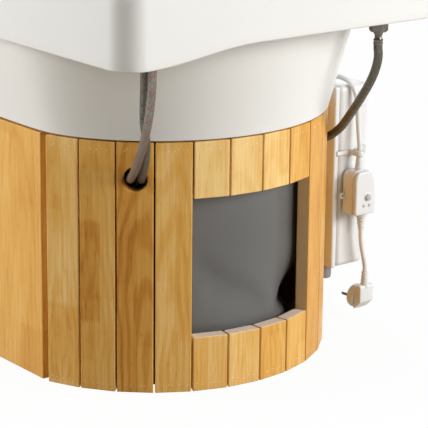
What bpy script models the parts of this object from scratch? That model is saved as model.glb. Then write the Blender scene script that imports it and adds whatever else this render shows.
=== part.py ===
"""Hair washing bed: a ceramic basin on a round-nosed base of upright boards, with a padded bed behind it.

The head of the bed is at -Y and the foot at +Y. The origin is on the floor, in the middle of the footprint.
Pieces of the basin unit are modelled round the upright axis of the base's round nose, and hang from the
empty head_axis. Sizes are metres.
"""

import math

import bmesh
import bpy
import numpy as np
from mathutils import Matrix, Vector

# Clearance between pieces that rest on or fit against each other.
FIT = 0.0003

# Base: upright boards round the nose, flat panels along the sides.
NOSE_RADIUS = 0.262
BOARD_ANGLE = math.radians(12.0)
BOARDS_PER_SIDE = 6
BOARD_THICKNESS = 0.020
BOARD_GAP = 0.0025
BOARD_EDGE_ROUND = 0.0012
BASE_HEIGHT = 0.368
SIDE_PANEL_GAP = 0.0115
GROOVE_WIDTH = 0.0035
GROOVE_DEPTH = 0.0030
SIDE_BOARD_WIDTH = 0.138
FOOT_BOARD_COUNT = 4

# Window in the nose, and the holes for the hoses.
WINDOW_BOARDS_PER_SIDE = 2
WINDOW_SILL = 0.081
WINDOW_HEAD = 0.082
TAP_HOSE_BOARD = -4
TAP_HOSE_HOLE = 0.035
TAP_HOSE_HOLE_DROP = 0.053
SHOWER_HOSE_BOARD = 4
SHOWER_HOSE_HOLE = 0.035
SHOWER_HOSE_HOLE_DROP = 0.057

# Inner plates and frames of the base.
PLATE_THICKNESS = 0.018
FLOOR_PLATE_HEIGHT = 0.006
RING_WIDTH = 0.0242
WASTE_HOLE_RADIUS = 0.030

# Basin: rim, skirt and bowl. The rim and the bowl stand out past the nose and the sides of the base.
RIM_SIDE_OVERHANG = 0.043
RIM_FRONT_OVERHANG = 0.090
RIM_BACK_OVERHANG = 0.038
RIM_CORNER = 0.042
RIM_RISE = 0.248
RIM_EDGE_ROUND = 0.018
DECK_THICKNESS = 0.026
SKIRT_WALL = 0.014
SKIRT_DEEP = 0.1084
SKIRT_SHALLOW = 0.0908
SKIRT_RISE_INSET = 0.035
SKIRT_RISE_LENGTH = 0.185
BOWL_FRONT_OVERHANG = 0.023
BOWL_CORNER = 0.200
BOWL_DEPTH = 0.186
BOWL_WALL = 0.018
BOWL_FOOT_INSET = 0.018
BOWL_LOW_INSET = 0.010
BOWL_HIGH_INSET = 0.004
CONE_OVERHANG = 0.0030
CONE_SLOPE = 0.26
FOOT_TUCK = 0.0065
FOOT_ROUND = 0.0100
FOOT_WIDTH = 0.030
POCKET_GAP = 0.004
POCKET_FULL = 0.030
BOWL_WALL_STEPS = ((BOWL_FOOT_INSET, 0.10), (BOWL_LOW_INSET, 0.30), (BOWL_HIGH_INSET, 0.55))
RIM_CORNER_STEPS = 5
RIM_SIDE_STEPS = (7, 24, 7, 14)
DRAIN_RECESS = 0.005
DRAIN_HOLE_RADIUS = 0.024
NOTCH_DEPTH = 0.060
NOTCH_HALF_FLOOR = 0.055
NOTCH_HALF_MOUTH = 0.165

# Neck rest over the notch.
NECK_REST_HALF_WIDTH = 0.125
NECK_REST_THICKNESS = 0.010
NECK_REST_DROP = 0.010

# Waste: flange and strainer in the drain hole, bottle trap and pipe under it.
FLANGE_RADIUS = 0.034
FLANGE_THICKNESS = 0.003
FLANGE_BORE = 0.0205
TAILPIECE_LENGTH = 0.055
TRAP_RADIUS = 0.036
TRAP_HEIGHT = 0.120
WASTE_PIPE_RADIUS = 0.020

# Mixer tap on the left corner of the rim.
TAP_SIDE_INSET = 0.0678
TAP_FRONT_INSET = 0.0403
TAP_RADIUS = 0.021
TAP_HEIGHT = 0.088
TAP_SHANK_RADIUS = 0.0165
TAP_SHANK_LENGTH = 0.014
TAP_HOLE_RADIUS = 0.0175
SPOUT_RADIUS = 0.0105
SPOUT_REACH = 0.125
HANDLE_RADIUS = 0.0195
HANDLE_HEIGHT = 0.020
HANDLE_LENGTH = 0.078
STEM_HEIGHT = 0.009
BALL_RADIUS = 0.006

# Shower outlet on the right of the rim, with its hose nut under the skirt.
OUTLET_SIDE_INSET = 0.128
OUTLET_FRONT_INSET = 0.052
OUTLET_SHANK_RADIUS = 0.0100
OUTLET_HOLE_RADIUS = 0.0105
NUT_ACROSS_FLATS = 0.024
NUT_HEIGHT = 0.020
NUT_DROP = 0.114
FERRULE_RADIUS = 0.0066
FERRULE_LENGTH = 0.018

# Hoses and their couplings inside the base.
TAP_HOSE_DIAMETER = 0.0118
SHOWER_HOSE_DIAMETER = 0.0130
FLEX_STEP = 1.7
NIPPLE_RADIUS = 0.0070
NIPPLE_LENGTH = 0.020
MANIFOLD_HEIGHT = 0.130
MANIFOLD_HALF_LENGTH = 0.045
MANIFOLD_DEPTH = 0.026

# Curtain hung inside the window.
CURTAIN_SET_BACK = 0.0085
CURTAIN_THICKNESS = 0.0020
CURTAIN_BOTTOM = 0.050
CURTAIN_LEFT = math.radians(-33.0)
CURTAIN_RIGHT = math.radians(28.5)
CURTAIN_CURL = 0.014
CURTAIN_SWING = math.radians(3.5)

# Water heater on the right side panel.
HEATER_FRONT = -0.124
HEATER_WIDTH = 0.185
HEATER_HEIGHT = 0.290
HEATER_BOTTOM = 0.0886
HEATER_STAND_OFF = 0.0059
HEATER_BRACKET_WIDTH = 0.100
HEATER_BRACKET_HEIGHT = 0.200
HEATER_BACK_DEPTH = 0.0095
HEATER_BACK_ROUND = 0.003
HEATER_COVER_DEPTH = 0.0615
HEATER_COVER_LEAN = 0.006
HEATER_ROUND = 0.008
HEATER_PIPE_RADIUS = 0.0105
HEATER_PIPE_LENGTH = 0.024
HEATER_PIPE_FROM_WALL = 0.0155
HEATER_PIPE_INSET = 0.034
GLAND_SIZE = (0.018, 0.020, 0.017)

# Mains lead: heater, leakage switch, plug.
CORD_DIAMETER = 0.0075
SWITCH_WIDTH = 0.039
SWITCH_HEIGHT = 0.069
SWITCH_BOTTOM = 0.1785
SWITCH_SHELL = 0.0166
SWITCH_FROM_WALL = 0.0359
SWITCH_FORWARD = 0.0346
BUTTON_RADIUS = 0.0050
BUTTON_PROUD = 0.0040
BUTTON_TRAVEL = 0.0025
RELIEF_RADIUS = 0.0058
TOP_RELIEF_LENGTH = 0.020
BOTTOM_RELIEF_LENGTH = 0.028
PLUG_CENTRE_HEIGHT = 0.041
PLUG_TURN = math.radians(82)
PLUG_FACE_RADIUS = 0.019
PLUG_FACE_REACH = 0.0215
PLUG_HEAD_LENGTH = 0.013
PLUG_GRIP_REACH = 0.006
PLUG_GRIP_WIDTH = 0.029
PIN_RADIUS = 0.0024
PIN_LENGTH = 0.0190
PIN_SPACING = 0.0190
STRAP_LEFT = 0.031
STRAP_RIGHT = 0.024
STRAP_WIDTH = 0.008
STRAP_WALL = 0.0018

# Bed: deck and mattress.
BED_GAP = 0.012
BED_END = 1.868
DECK_HALF_WIDTH = 0.310
BED_DECK_THICKNESS = 0.018
BED_DECK_INSET = 0.010
MATTRESS_HALF_WIDTH = 0.335
MATTRESS_HEIGHT = 0.128
MATTRESS_CROWN = 0.014
MATTRESS_SIDE_TUCK = 0.010
BASE_END_INSET = 0.060

# Derived places.
WINDOW_BOTTOM = WINDOW_SILL
WINDOW_TOP = BASE_HEIGHT - WINDOW_HEAD
RIM_HALF_WIDTH = NOSE_RADIUS + RIM_SIDE_OVERHANG
RIM_FRONT = NOSE_RADIUS + RIM_FRONT_OVERHANG
RIM_BACK = NOSE_RADIUS + RIM_BACK_OVERHANG
RIM_TOP = BASE_HEIGHT + RIM_RISE
SKIRT_LOW = RIM_TOP - SKIRT_DEEP
SKIRT_HIGH = RIM_TOP - SKIRT_SHALLOW
SKIRT_RISE_START = SKIRT_RISE_INSET - RIM_HALF_WIDTH
SKIRT_RISE_END = SKIRT_RISE_START + SKIRT_RISE_LENGTH
BOWL_HALF_WIDTH = BOWL_BACK = NOSE_RADIUS
BOWL_FRONT = NOSE_RADIUS + BOWL_FRONT_OVERHANG
BOWL_FLOOR = RIM_TOP - BOWL_DEPTH
CABINET_BACK = RIM_BACK
BED_FRONT = RIM_BACK + BED_GAP
TAP_X = TAP_SIDE_INSET - RIM_HALF_WIDTH
TAP_Y = TAP_FRONT_INSET - RIM_FRONT
OUTLET_X = RIM_HALF_WIDTH - OUTLET_SIDE_INSET
OUTLET_Y = OUTLET_FRONT_INSET - RIM_FRONT
NUT_BOTTOM = RIM_TOP - NUT_DROP
HEAD_Y = (RIM_FRONT - BED_END) / 2
PANEL_X = NOSE_RADIUS * math.sin(BOARDS_PER_SIDE * BOARD_ANGLE)
PANEL_START = -NOSE_RADIUS * math.cos(BOARDS_PER_SIDE * BOARD_ANGLE) + SIDE_PANEL_GAP
PANEL_INNER_X = PANEL_X - BOARD_THICKNESS
BASE_END = BED_END - BASE_END_INSET
BOARD_FACE = NOSE_RADIUS * math.cos(BOARD_ANGLE / 2)
RING_HOLE_RADIUS = PANEL_INNER_X - RING_WIDTH
CURTAIN_RADIUS = BOARD_FACE - BOARD_THICKNESS - CURTAIN_SET_BACK
HEATER_WALL = PANEL_X + HEATER_STAND_OFF
HEATER_TOP = HEATER_BOTTOM + HEATER_HEIGHT
SWITCH_X = HEATER_WALL + SWITCH_FROM_WALL
SWITCH_FRONT = HEATER_FRONT - SWITCH_FORWARD
SWITCH_Y = SWITCH_FRONT + SWITCH_SHELL + FIT / 2
SWITCH_TOP = SWITCH_BOTTOM + SWITCH_HEIGHT


def clear_scene():
    for obj in list(bpy.data.objects):
        bpy.data.objects.remove(obj, do_unlink=True)


clear_scene()
parts = bpy.data.collections.new("hair_washing_bed")
cutters = bpy.data.collections.new("cutters")
cutters.hide_render = True
for group in (parts, cutters):
    bpy.context.scene.collection.children.link(group)
head = bpy.data.objects.new("head_axis", None)
head.location = (0, HEAD_Y, 0)
parts.objects.link(head)


# Materials: one Principled BSDF for each finish.
def material(name, colour, roughness, metallic=0.0):
    made = bpy.data.materials.new(name)
    made.use_nodes = True
    shader = made.node_tree.nodes["Principled BSDF"]
    shader.inputs["Base Color"].default_value = (*colour, 1)
    shader.inputs["Roughness"].default_value = roughness
    shader.inputs["Metallic"].default_value = metallic
    made.diffuse_color = (*colour, 1)
    return made


RUBBERWOOD = material("rubberwood", (0.66, 0.40, 0.15), 0.45)
PLYWOOD = material("plywood", (0.62, 0.47, 0.30), 0.7)
CHINA = material("white_china", (0.86, 0.86, 0.84), 0.12)
CHROME = material("chrome", (0.80, 0.80, 0.80), 0.12, 1.0)
BRAID = material("steel_braid", (0.42, 0.41, 0.38), 0.4, 1.0)
BRASS = material("brass", (0.72, 0.55, 0.25), 0.35, 1.0)
WHITE_PLASTIC = material("white_plastic", (0.86, 0.86, 0.85), 0.35)
GREY_PLASTIC = material("grey_plastic", (0.30, 0.30, 0.30), 0.5)
CURTAIN_VINYL = material("curtain_vinyl", (0.13, 0.13, 0.13), 0.5)
SILICONE = material("silicone", (0.10, 0.10, 0.11), 0.5)
LEATHERETTE = material("leatherette", (0.30, 0.22, 0.16), 0.5)


# Building helpers.
def keep(obj, finish, parent=head):
    """Puts a finished piece in the parts collection, with its material and parent."""
    obj.data.materials.clear()
    obj.data.materials.append(finish)
    obj.parent = parent
    parts.objects.link(obj)
    return obj


def mesh_object(name, bm):
    mesh = bpy.data.meshes.new(name)
    bm.to_mesh(mesh)
    bm.free()
    return bpy.data.objects.new(name, mesh)


def smooth(obj, angle=math.radians(35)):
    obj.data.shade_smooth()
    obj.data.set_sharp_from_angle(angle=angle)
    return obj


def bevel(obj, width, segments=1):
    made = obj.modifiers.new("edge_round", "BEVEL")
    made.width = width
    made.segments = segments
    made.limit_method = "ANGLE"
    made.angle_limit = math.radians(30)
    return obj


def box(name, low, high):
    """A box between two corners, with its origin in its middle."""
    low, high = Vector(low), Vector(high)
    bm = bmesh.new()
    bmesh.ops.create_cube(bm, size=1)
    bmesh.ops.scale(bm, vec=high - low, verts=bm.verts)
    obj = mesh_object(name, bm)
    obj.location = (low + high) / 2
    return obj


def turned(name, profile, place, steps=24):
    """A turned piece: (radius, height) points down its outer side, spun about Z, standing at place."""
    bm = bmesh.new()
    points = [bm.verts.new((radius, 0, height)) for radius, height in profile]
    for first, second in zip(points, points[1:]):
        bm.edges.new((first, second))
    obj = mesh_object(name, bm)
    spin = obj.modifiers.new("turn", "SCREW")
    spin.steps = spin.render_steps = steps
    spin.use_merge_vertices = True
    spin.merge_threshold = 0.00005
    spin.use_smooth_shade = False
    obj.location = place
    return obj


def ring_profile(outer, bore, top, bottom):
    """The closed section of a ring, starting and ending at its bore's top."""
    return [(bore, top), (outer, top), (outer, bottom), (bore, bottom), (bore, top)]


def smooth_path(points, count):
    """Points at even steps of a Catmull-Rom curve through the given ones."""
    knots = np.array([points[0], *points, points[-1]], float)
    spans = len(points) - 1
    made = []
    for t in np.linspace(0, spans, count):
        i = min(int(t), spans - 1)
        a, b, c, d = knots[i : i + 4]
        s = t - i
        bend, twist = 2 * a - 5 * b + 4 * c - d, 3 * b - a - 3 * c + d
        made.append(0.5 * (2 * b + (c - a) * s + bend * s**2 + twist * s**3))
    return made


def tube(name, points, radius, sides_level=2):
    """A round tube with closed ends along the points."""
    curve = bpy.data.curves.new(name, "CURVE")
    curve.dimensions = "3D"
    curve.bevel_depth = radius
    curve.bevel_resolution = sides_level
    curve.use_fill_caps = True
    spline = curve.splines.new("POLY")
    spline.points.add(len(points) - 1)
    for knot, point in zip(spline.points, points):
        knot.co = (*point, 1)
    return bpy.data.objects.new(name, curve)


def plate(name, outlines, bottom, thickness):
    """A flat plate: the first outline is its edge, and the others are holes."""
    curve = bpy.data.curves.new(name, "CURVE")
    curve.dimensions = "2D"
    curve.fill_mode = "BOTH"
    curve.extrude = thickness / 2
    for outline in outlines:
        spline = curve.splines.new("POLY")
        spline.points.add(len(outline) - 1)
        spline.use_cyclic_u = True
        for knot, (x, y) in zip(spline.points, outline):
            knot.co = (x, y, 0, 1)
    obj = bpy.data.objects.new(name, curve)
    obj.location = (0, 0, bottom + thickness / 2)
    return obj


def circle(radius, x=0.0, y=0.0, count=32):
    turns = (2 * math.pi * i / count for i in range(count))
    return [(x + radius * math.cos(t), y + radius * math.sin(t)) for t in turns]


def as_mesh(obj):
    """The evaluated object as a plain mesh object, with its loose ends welded."""
    parts.objects.link(obj)
    bpy.context.view_layer.update()
    graph = bpy.context.evaluated_depsgraph_get()
    mesh = bpy.data.meshes.new_from_object(obj.evaluated_get(graph))
    place = obj.matrix_world.copy()
    name = obj.name
    bpy.data.objects.remove(obj)
    bm = bmesh.new()
    bm.from_mesh(mesh)
    bmesh.ops.remove_doubles(bm, verts=bm.verts, dist=0.00002)
    bmesh.ops.recalc_face_normals(bm, faces=bm.faces)
    bm.to_mesh(mesh)
    bm.free()
    made = bpy.data.objects.new(name, mesh)
    made.name = name
    made.matrix_world = place
    return made


def combine(obj, tool, operation):
    """Joins tool to obj, or cuts it out. The tool stays as a hidden wire object."""
    cutters.objects.link(tool)
    tool.parent = head
    tool.hide_render = True
    tool.display_type = "WIRE"
    made = obj.modifiers.new(tool.name, "BOOLEAN")
    made.operation = operation
    made.object = tool
    return obj


def round_cutter(name, radius, length, place, direction=(0, 0, 1), count=24):
    bm = bmesh.new()
    bmesh.ops.create_cone(
        bm, cap_ends=True, segments=count, radius1=radius, radius2=radius, depth=length
    )
    obj = mesh_object(name, bm)
    obj.location = place
    obj.rotation_euler = Vector(direction).to_track_quat("Z", "Y").to_euler()
    return obj


def around_nose(radius, angle, height):
    """A point at an angle from the nose, towards +X, round the head axis."""
    return Vector((radius * math.sin(angle), -radius * math.cos(angle), height))


def ease(t):
    """A smooth step from 0 to 1."""
    t = np.clip(t, 0, 1)
    return t * t * (3 - 2 * t)


# Upright boards round the nose: flat faces, radial sides, a small gap between neighbours.
def nose_board(name, index, bottom, top):
    """The board between seam index and the next one, counted from the middle of the nose."""
    half_outer = BOARD_FACE * math.tan(BOARD_ANGLE / 2) - BOARD_GAP / 2
    half_inner = (BOARD_FACE - BOARD_THICKNESS) * math.tan(BOARD_ANGLE / 2) - BOARD_GAP / 2
    angle = (index + 0.5) * BOARD_ANGLE
    bm = bmesh.new()
    bmesh.ops.create_cube(bm, size=1)
    for vert in bm.verts:
        outer = vert.co.y < 0
        half = half_outer if outer else half_inner
        vert.co.x = math.copysign(half, vert.co.x)
        vert.co.y = 0 if outer else BOARD_THICKNESS
        vert.co.z *= top - bottom
    obj = mesh_object(name, bm)
    obj.location = around_nose(BOARD_FACE, angle, (bottom + top) / 2)
    obj.rotation_euler = (0, 0, angle)
    bevel(obj, BOARD_EDGE_ROUND)
    return obj


def hose_hole(board, index, diameter, height):
    angle = (index + 0.5) * BOARD_ANGLE
    place = around_nose(BOARD_FACE, angle, height)
    cutter = round_cutter(
        board.name + "_hole", diameter / 2, 4 * BOARD_THICKNESS, place, around_nose(1, angle, 0)
    )
    combine(board, cutter, "DIFFERENCE")


def nose_boards():
    for index in range(-BOARDS_PER_SIDE, BOARDS_PER_SIDE):
        number = index + BOARDS_PER_SIDE + 1
        if -WINDOW_BOARDS_PER_SIDE <= index < WINDOW_BOARDS_PER_SIDE:
            keep(nose_board(f"window_head_board_{number:02d}", index, WINDOW_TOP, BASE_HEIGHT), RUBBERWOOD)
            keep(nose_board(f"window_sill_board_{number:02d}", index, 0, WINDOW_BOTTOM), RUBBERWOOD)
            continue
        board = nose_board(f"base_board_{number:02d}", index, 0, BASE_HEIGHT)
        if index == TAP_HOSE_BOARD:
            hose_hole(board, index, TAP_HOSE_HOLE, BASE_HEIGHT - TAP_HOSE_HOLE_DROP)
        if index == SHOWER_HOSE_BOARD:
            hose_hole(board, index, SHOWER_HOSE_HOLE, BASE_HEIGHT - SHOWER_HOSE_HOLE_DROP)
        keep(board, RUBBERWOOD)


# Flat panels of the straight sides and the foot: upright boards glued edge to edge, with V grooves.
def grooved_edge(start, end, count):
    """(along, depth) points of a face with count boards, and a V groove at each joint."""
    pitch = (end - start) / count
    points = []
    for joint in range(1, count):
        along = start + joint * pitch
        points += [(along - GROOVE_WIDTH / 2, 0), (along, GROOVE_DEPTH), (along + GROOVE_WIDTH / 2, 0)]
    return [(start, 0), *points, (end, 0)]


def side_panels():
    count = round((BASE_END - PANEL_START) / SIDE_BOARD_WIDTH)
    face = grooved_edge(PANEL_START, BASE_END, count)
    for name, side in (("side_panel_left", -1), ("side_panel_right", 1)):
        outline = [(side * (PANEL_X - depth), along) for along, depth in face]
        outline += [(side * PANEL_INNER_X, BASE_END), (side * PANEL_INNER_X, PANEL_START)]
        keep(plate(name, [outline], 0, BASE_HEIGHT), RUBBERWOOD)


def foot_panel():
    inner = BASE_END - BOARD_THICKNESS
    face = grooved_edge(-PANEL_INNER_X + FIT, PANEL_INNER_X - FIT, FOOT_BOARD_COUNT)
    outline = [(along, BASE_END - depth) for along, depth in face]
    outline += [(PANEL_INNER_X - FIT, inner), (-PANEL_INNER_X + FIT, inner)]
    keep(plate("foot_panel", [outline], 0, BASE_HEIGHT), RUBBERWOOD)


# Plates and frames that the boards are nailed to, and that carry the basin and the bed.
def cabinet_outline():
    """The inside of the nose boards and side panels, back to the bulkhead."""
    corner = (BOARD_FACE - BOARD_THICKNESS - FIT) / math.cos(BOARD_ANGLE / 2)
    last = BOARDS_PER_SIDE
    side = PANEL_INNER_X - FIT
    right = [around_nose(corner, k * BOARD_ANGLE, 0) for k in range(last + 1)]
    before, after = right[-2], right[-1]
    share = (side - before.x) / (after.x - before.x)
    meet = before.lerp(after, min(share, 1.0))
    half = [(p.x, p.y) for p in right[:-1]] + [(min(meet.x, side), meet.y), (side, CABINET_BACK - FIT)]
    return half + [(-x, y) for x, y in reversed(half[1:])]


def inner_frames():
    outline = cabinet_outline()
    top_ring = plate(
        "top_ring", [outline, circle(RING_HOLE_RADIUS)], BASE_HEIGHT - PLATE_THICKNESS, PLATE_THICKNESS
    )
    keep(top_ring, PLYWOOD)
    floor = plate(
        "floor_plate", [outline, circle(WASTE_HOLE_RADIUS, count=24)], FLOOR_PLATE_HEIGHT, PLATE_THICKNESS
    )
    keep(floor, PLYWOOD)
    half = PANEL_INNER_X - FIT
    back = CABINET_BACK + PLATE_THICKNESS
    keep(box("bulkhead", (-half, CABINET_BACK, 0), (half, back, BASE_HEIGHT)), PLYWOOD)


# Basin: one closed wall, lofted ring by ring from the drain hole over the rim and back under the bowl.
def reach(angles, half_width, front, back, corner):
    """Distance from the head axis to a rounded rectangle, in each direction. A circle is one with
    all four sizes the same. The edge is found by halving the interval along each ray."""
    centre = np.array([0, (back - front) / 2])
    inner = np.array([half_width, (front + back) / 2]) - corner
    rays = np.stack([np.sin(angles), -np.cos(angles)], 1)
    near, far = np.zeros(len(angles)), np.ones(len(angles))
    for _ in range(50):
        middle = (near + far) / 2
        over = np.abs(rays * middle[:, None] - centre) - inner
        outside = np.linalg.norm(np.maximum(over, 0), axis=1) + np.minimum(over.max(1), 0) > corner
        near, far = np.where(outside, near, middle), np.where(outside, middle, far)
    return near


def rim_directions():
    """Directions of points along the rim's outline, close together round its corners and the neck notch."""
    x, y0, y1, r = RIM_HALF_WIDTH, -RIM_FRONT, RIM_BACK, RIM_CORNER
    corners = ((x - r, y0 + r), (x - r, y1 - r), (r - x, y1 - r), (r - x, y0 + r))
    arcs = []
    for (cx, cy), start in zip(corners, (-90, 0, 90, 180)):
        turns = np.radians(start + np.linspace(0, 90, RIM_CORNER_STEPS + 1))
        arcs.append(np.stack([cx + r * np.cos(turns), cy + r * np.sin(turns)], 1))
    points = []
    for arc, following, steps in zip(arcs, arcs[1:] + arcs[:1], RIM_SIDE_STEPS):
        share = np.linspace(0, 1, steps + 1)[1:-1, None]
        points += [arc, arc[-1] + share * (following[0] - arc[-1])]
    points = np.concatenate(points)
    return np.arctan2(points[:, 0], -points[:, 1])


def spread(angles, reaches, heights):
    """Points at the given reaches and heights, one in each direction."""
    full = np.broadcast_to
    reaches, heights = full(reaches, len(angles)), full(heights, len(angles))
    return np.stack([reaches * np.sin(angles), -reaches * np.cos(angles), heights], 1)


def rim_reach(angles, inset):
    corner = max(RIM_CORNER - inset, RIM_CORNER / 4)
    return reach(angles, RIM_HALF_WIDTH - inset, RIM_FRONT - inset, RIM_BACK - inset, corner)


def bowl_reach(angles, inset):
    return reach(angles, BOWL_HALF_WIDTH - inset, BOWL_FRONT - inset, BOWL_BACK - inset, BOWL_CORNER)


def cone_reach(angles, height):
    """The bowl's outside: a cone round the nose, with flat sides that lean out as it does."""
    lean = CONE_OVERHANG + CONE_SLOPE * (height - BASE_HEIGHT - FIT - FOOT_ROUND)
    side = (PANEL_X + lean) / np.maximum(np.abs(np.sin(angles)), 0.001)
    return np.minimum(NOSE_RADIUS + lean, side)


def notch(angles):
    """How far the rim dips for the neck, in each direction across the middle of its back side."""
    across = np.abs(RIM_BACK * np.tan(angles))
    dip = NOTCH_DEPTH * ease((NOTCH_HALF_MOUTH - across) / (NOTCH_HALF_MOUTH - NOTCH_HALF_FLOOR))
    return np.where(np.cos(angles) < 0, dip, 0)


def skirt_bottom(angles):
    """The lower edge of the skirt: low on the tap's side, and higher past its corner."""
    x = rim_reach(angles, 0) * np.sin(angles)
    share = ease((x - SKIRT_RISE_START) / (SKIRT_RISE_END - SKIRT_RISE_START))
    return SKIRT_LOW + (SKIRT_HIGH - SKIRT_LOW) * share


def basin_rings(angles):
    """Rings of points from the top of the drain hole, up the bowl, over the rim and down again."""
    dip = notch(angles)
    lower = skirt_bottom(angles)
    skirt_inside = rim_reach(angles, SKIRT_WALL)
    room = ease((skirt_inside - cone_reach(angles, SKIRT_HIGH)) / POCKET_FULL)
    shallow = lower + POCKET_GAP
    ceiling = shallow + room * (RIM_TOP - DECK_THICKNESS - dip - shallow)
    bowl_top = np.minimum(cone_reach(angles, ceiling), skirt_inside - POCKET_GAP)
    lip = RIM_EDGE_ROUND * (1 - math.sqrt(0.5))
    crest = RIM_TOP - dip
    depth = RIM_TOP - BOWL_FLOOR
    foot = BASE_HEIGHT + FIT
    foot_outer = cone_reach(angles, foot + FOOT_ROUND) - FOOT_TUCK
    floor_under = BOWL_FLOOR - BOWL_WALL
    rings = [
        (DRAIN_HOLE_RADIUS, BOWL_FLOOR - DRAIN_RECESS),
        (DRAIN_HOLE_RADIUS * 1.7, BOWL_FLOOR - DRAIN_RECESS),
        (BOWL_BACK * 0.60, BOWL_FLOOR),
        *((bowl_reach(angles, inset), BOWL_FLOOR + depth * share) for inset, share in BOWL_WALL_STEPS),
        (bowl_reach(angles, 0), crest - RIM_EDGE_ROUND),
        (bowl_reach(angles, -lip), crest - lip),
        (bowl_reach(angles, -RIM_EDGE_ROUND), crest),
        (rim_reach(angles, RIM_EDGE_ROUND), crest),
        (rim_reach(angles, lip), crest - lip),
        (rim_reach(angles, 0), crest - RIM_EDGE_ROUND),
        (rim_reach(angles, 0), lower + 0.003),
        (rim_reach(angles, 0.003), lower),
        (skirt_inside, lower),
        (skirt_inside, ceiling),
        (bowl_top, ceiling),
        (cone_reach(angles, foot + FOOT_ROUND), foot + FOOT_ROUND),
        (foot_outer, foot),
        (foot_outer - FOOT_WIDTH, foot),
        (foot_outer - FOOT_WIDTH - 0.008, floor_under),
        (DRAIN_HOLE_RADIUS, floor_under),
    ]
    return [spread(angles, reaches, heights) for reaches, heights in rings]


def loft(name, rings, closed):
    """A skin through rows of points, every quad cut along the same diagonal. A closed one also joins
    each row's last point to its first, and the last row to the first row."""
    bm = bmesh.new()
    rows = [[bm.verts.new(point) for point in ring] for ring in rings]
    count = len(rows[0])
    for row, following in zip(rows, rows[1:] + rows[:1] if closed else rows[1:]):
        for i in range(count if closed else count - 1):
            j = (i + 1) % count
            bm.faces.new((row[i], row[j], following[j]))
            bm.faces.new((row[i], following[j], following[i]))
    return mesh_object(name, bm)


def basin():
    obj = smooth(loft("basin", basin_rings(rim_directions()), True))
    deck = RIM_TOP - DECK_THICKNESS / 2
    tap_hole = round_cutter("tap_hole", TAP_HOLE_RADIUS, 2 * DECK_THICKNESS, (TAP_X, TAP_Y, deck))
    combine(obj, tap_hole, "DIFFERENCE")
    place = (OUTLET_X, OUTLET_Y, deck)
    combine(obj, round_cutter("outlet_hole", OUTLET_HOLE_RADIUS, 2 * DECK_THICKNESS, place), "DIFFERENCE")
    keep(obj, CHINA)


# Neck rest: a soft saddle over the notch, as an open sheet given its thickness.
def neck_rest():
    """The sheet follows the china closely: up the bowl's back wall, over the rim and down the skirt."""
    angles = np.sort(rim_directions() % (2 * math.pi))
    across = RIM_BACK * np.tan(angles)
    angles = angles[(np.cos(angles) < 0) & (np.abs(across) < NECK_REST_HALF_WIDTH)]
    clear = 2 * FIT
    crest = RIM_TOP - notch(angles)
    lip = RIM_EDGE_ROUND * (1 - math.sqrt(0.5))
    depth = RIM_TOP - BOWL_FLOOR
    (low_inset, low), (high_inset, high) = BOWL_WALL_STEPS[1:]
    rows = [
        (bowl_reach(angles, (low_inset + high_inset) / 2 + clear), BOWL_FLOOR + depth * (low + high) / 2),
        (bowl_reach(angles, high_inset + clear), BOWL_FLOOR + depth * high),
        (bowl_reach(angles, clear), crest - RIM_EDGE_ROUND),
        (bowl_reach(angles, clear - lip), crest - lip + clear),
        (bowl_reach(angles, -RIM_EDGE_ROUND), crest + clear),
        (rim_reach(angles, RIM_EDGE_ROUND), crest + clear),
        (rim_reach(angles, lip - clear), crest - lip + clear),
        (rim_reach(angles, -clear), crest - RIM_EDGE_ROUND),
        (rim_reach(angles, -clear), crest - RIM_EDGE_ROUND - NECK_REST_DROP),
    ]
    obj = loft("neck_rest", [spread(angles, *row) for row in rows], False)
    wall = obj.modifiers.new("thickness", "SOLIDIFY")
    wall.thickness = NECK_REST_THICKNESS
    wall.offset = -1
    keep(smooth(obj), SILICONE)


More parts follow.
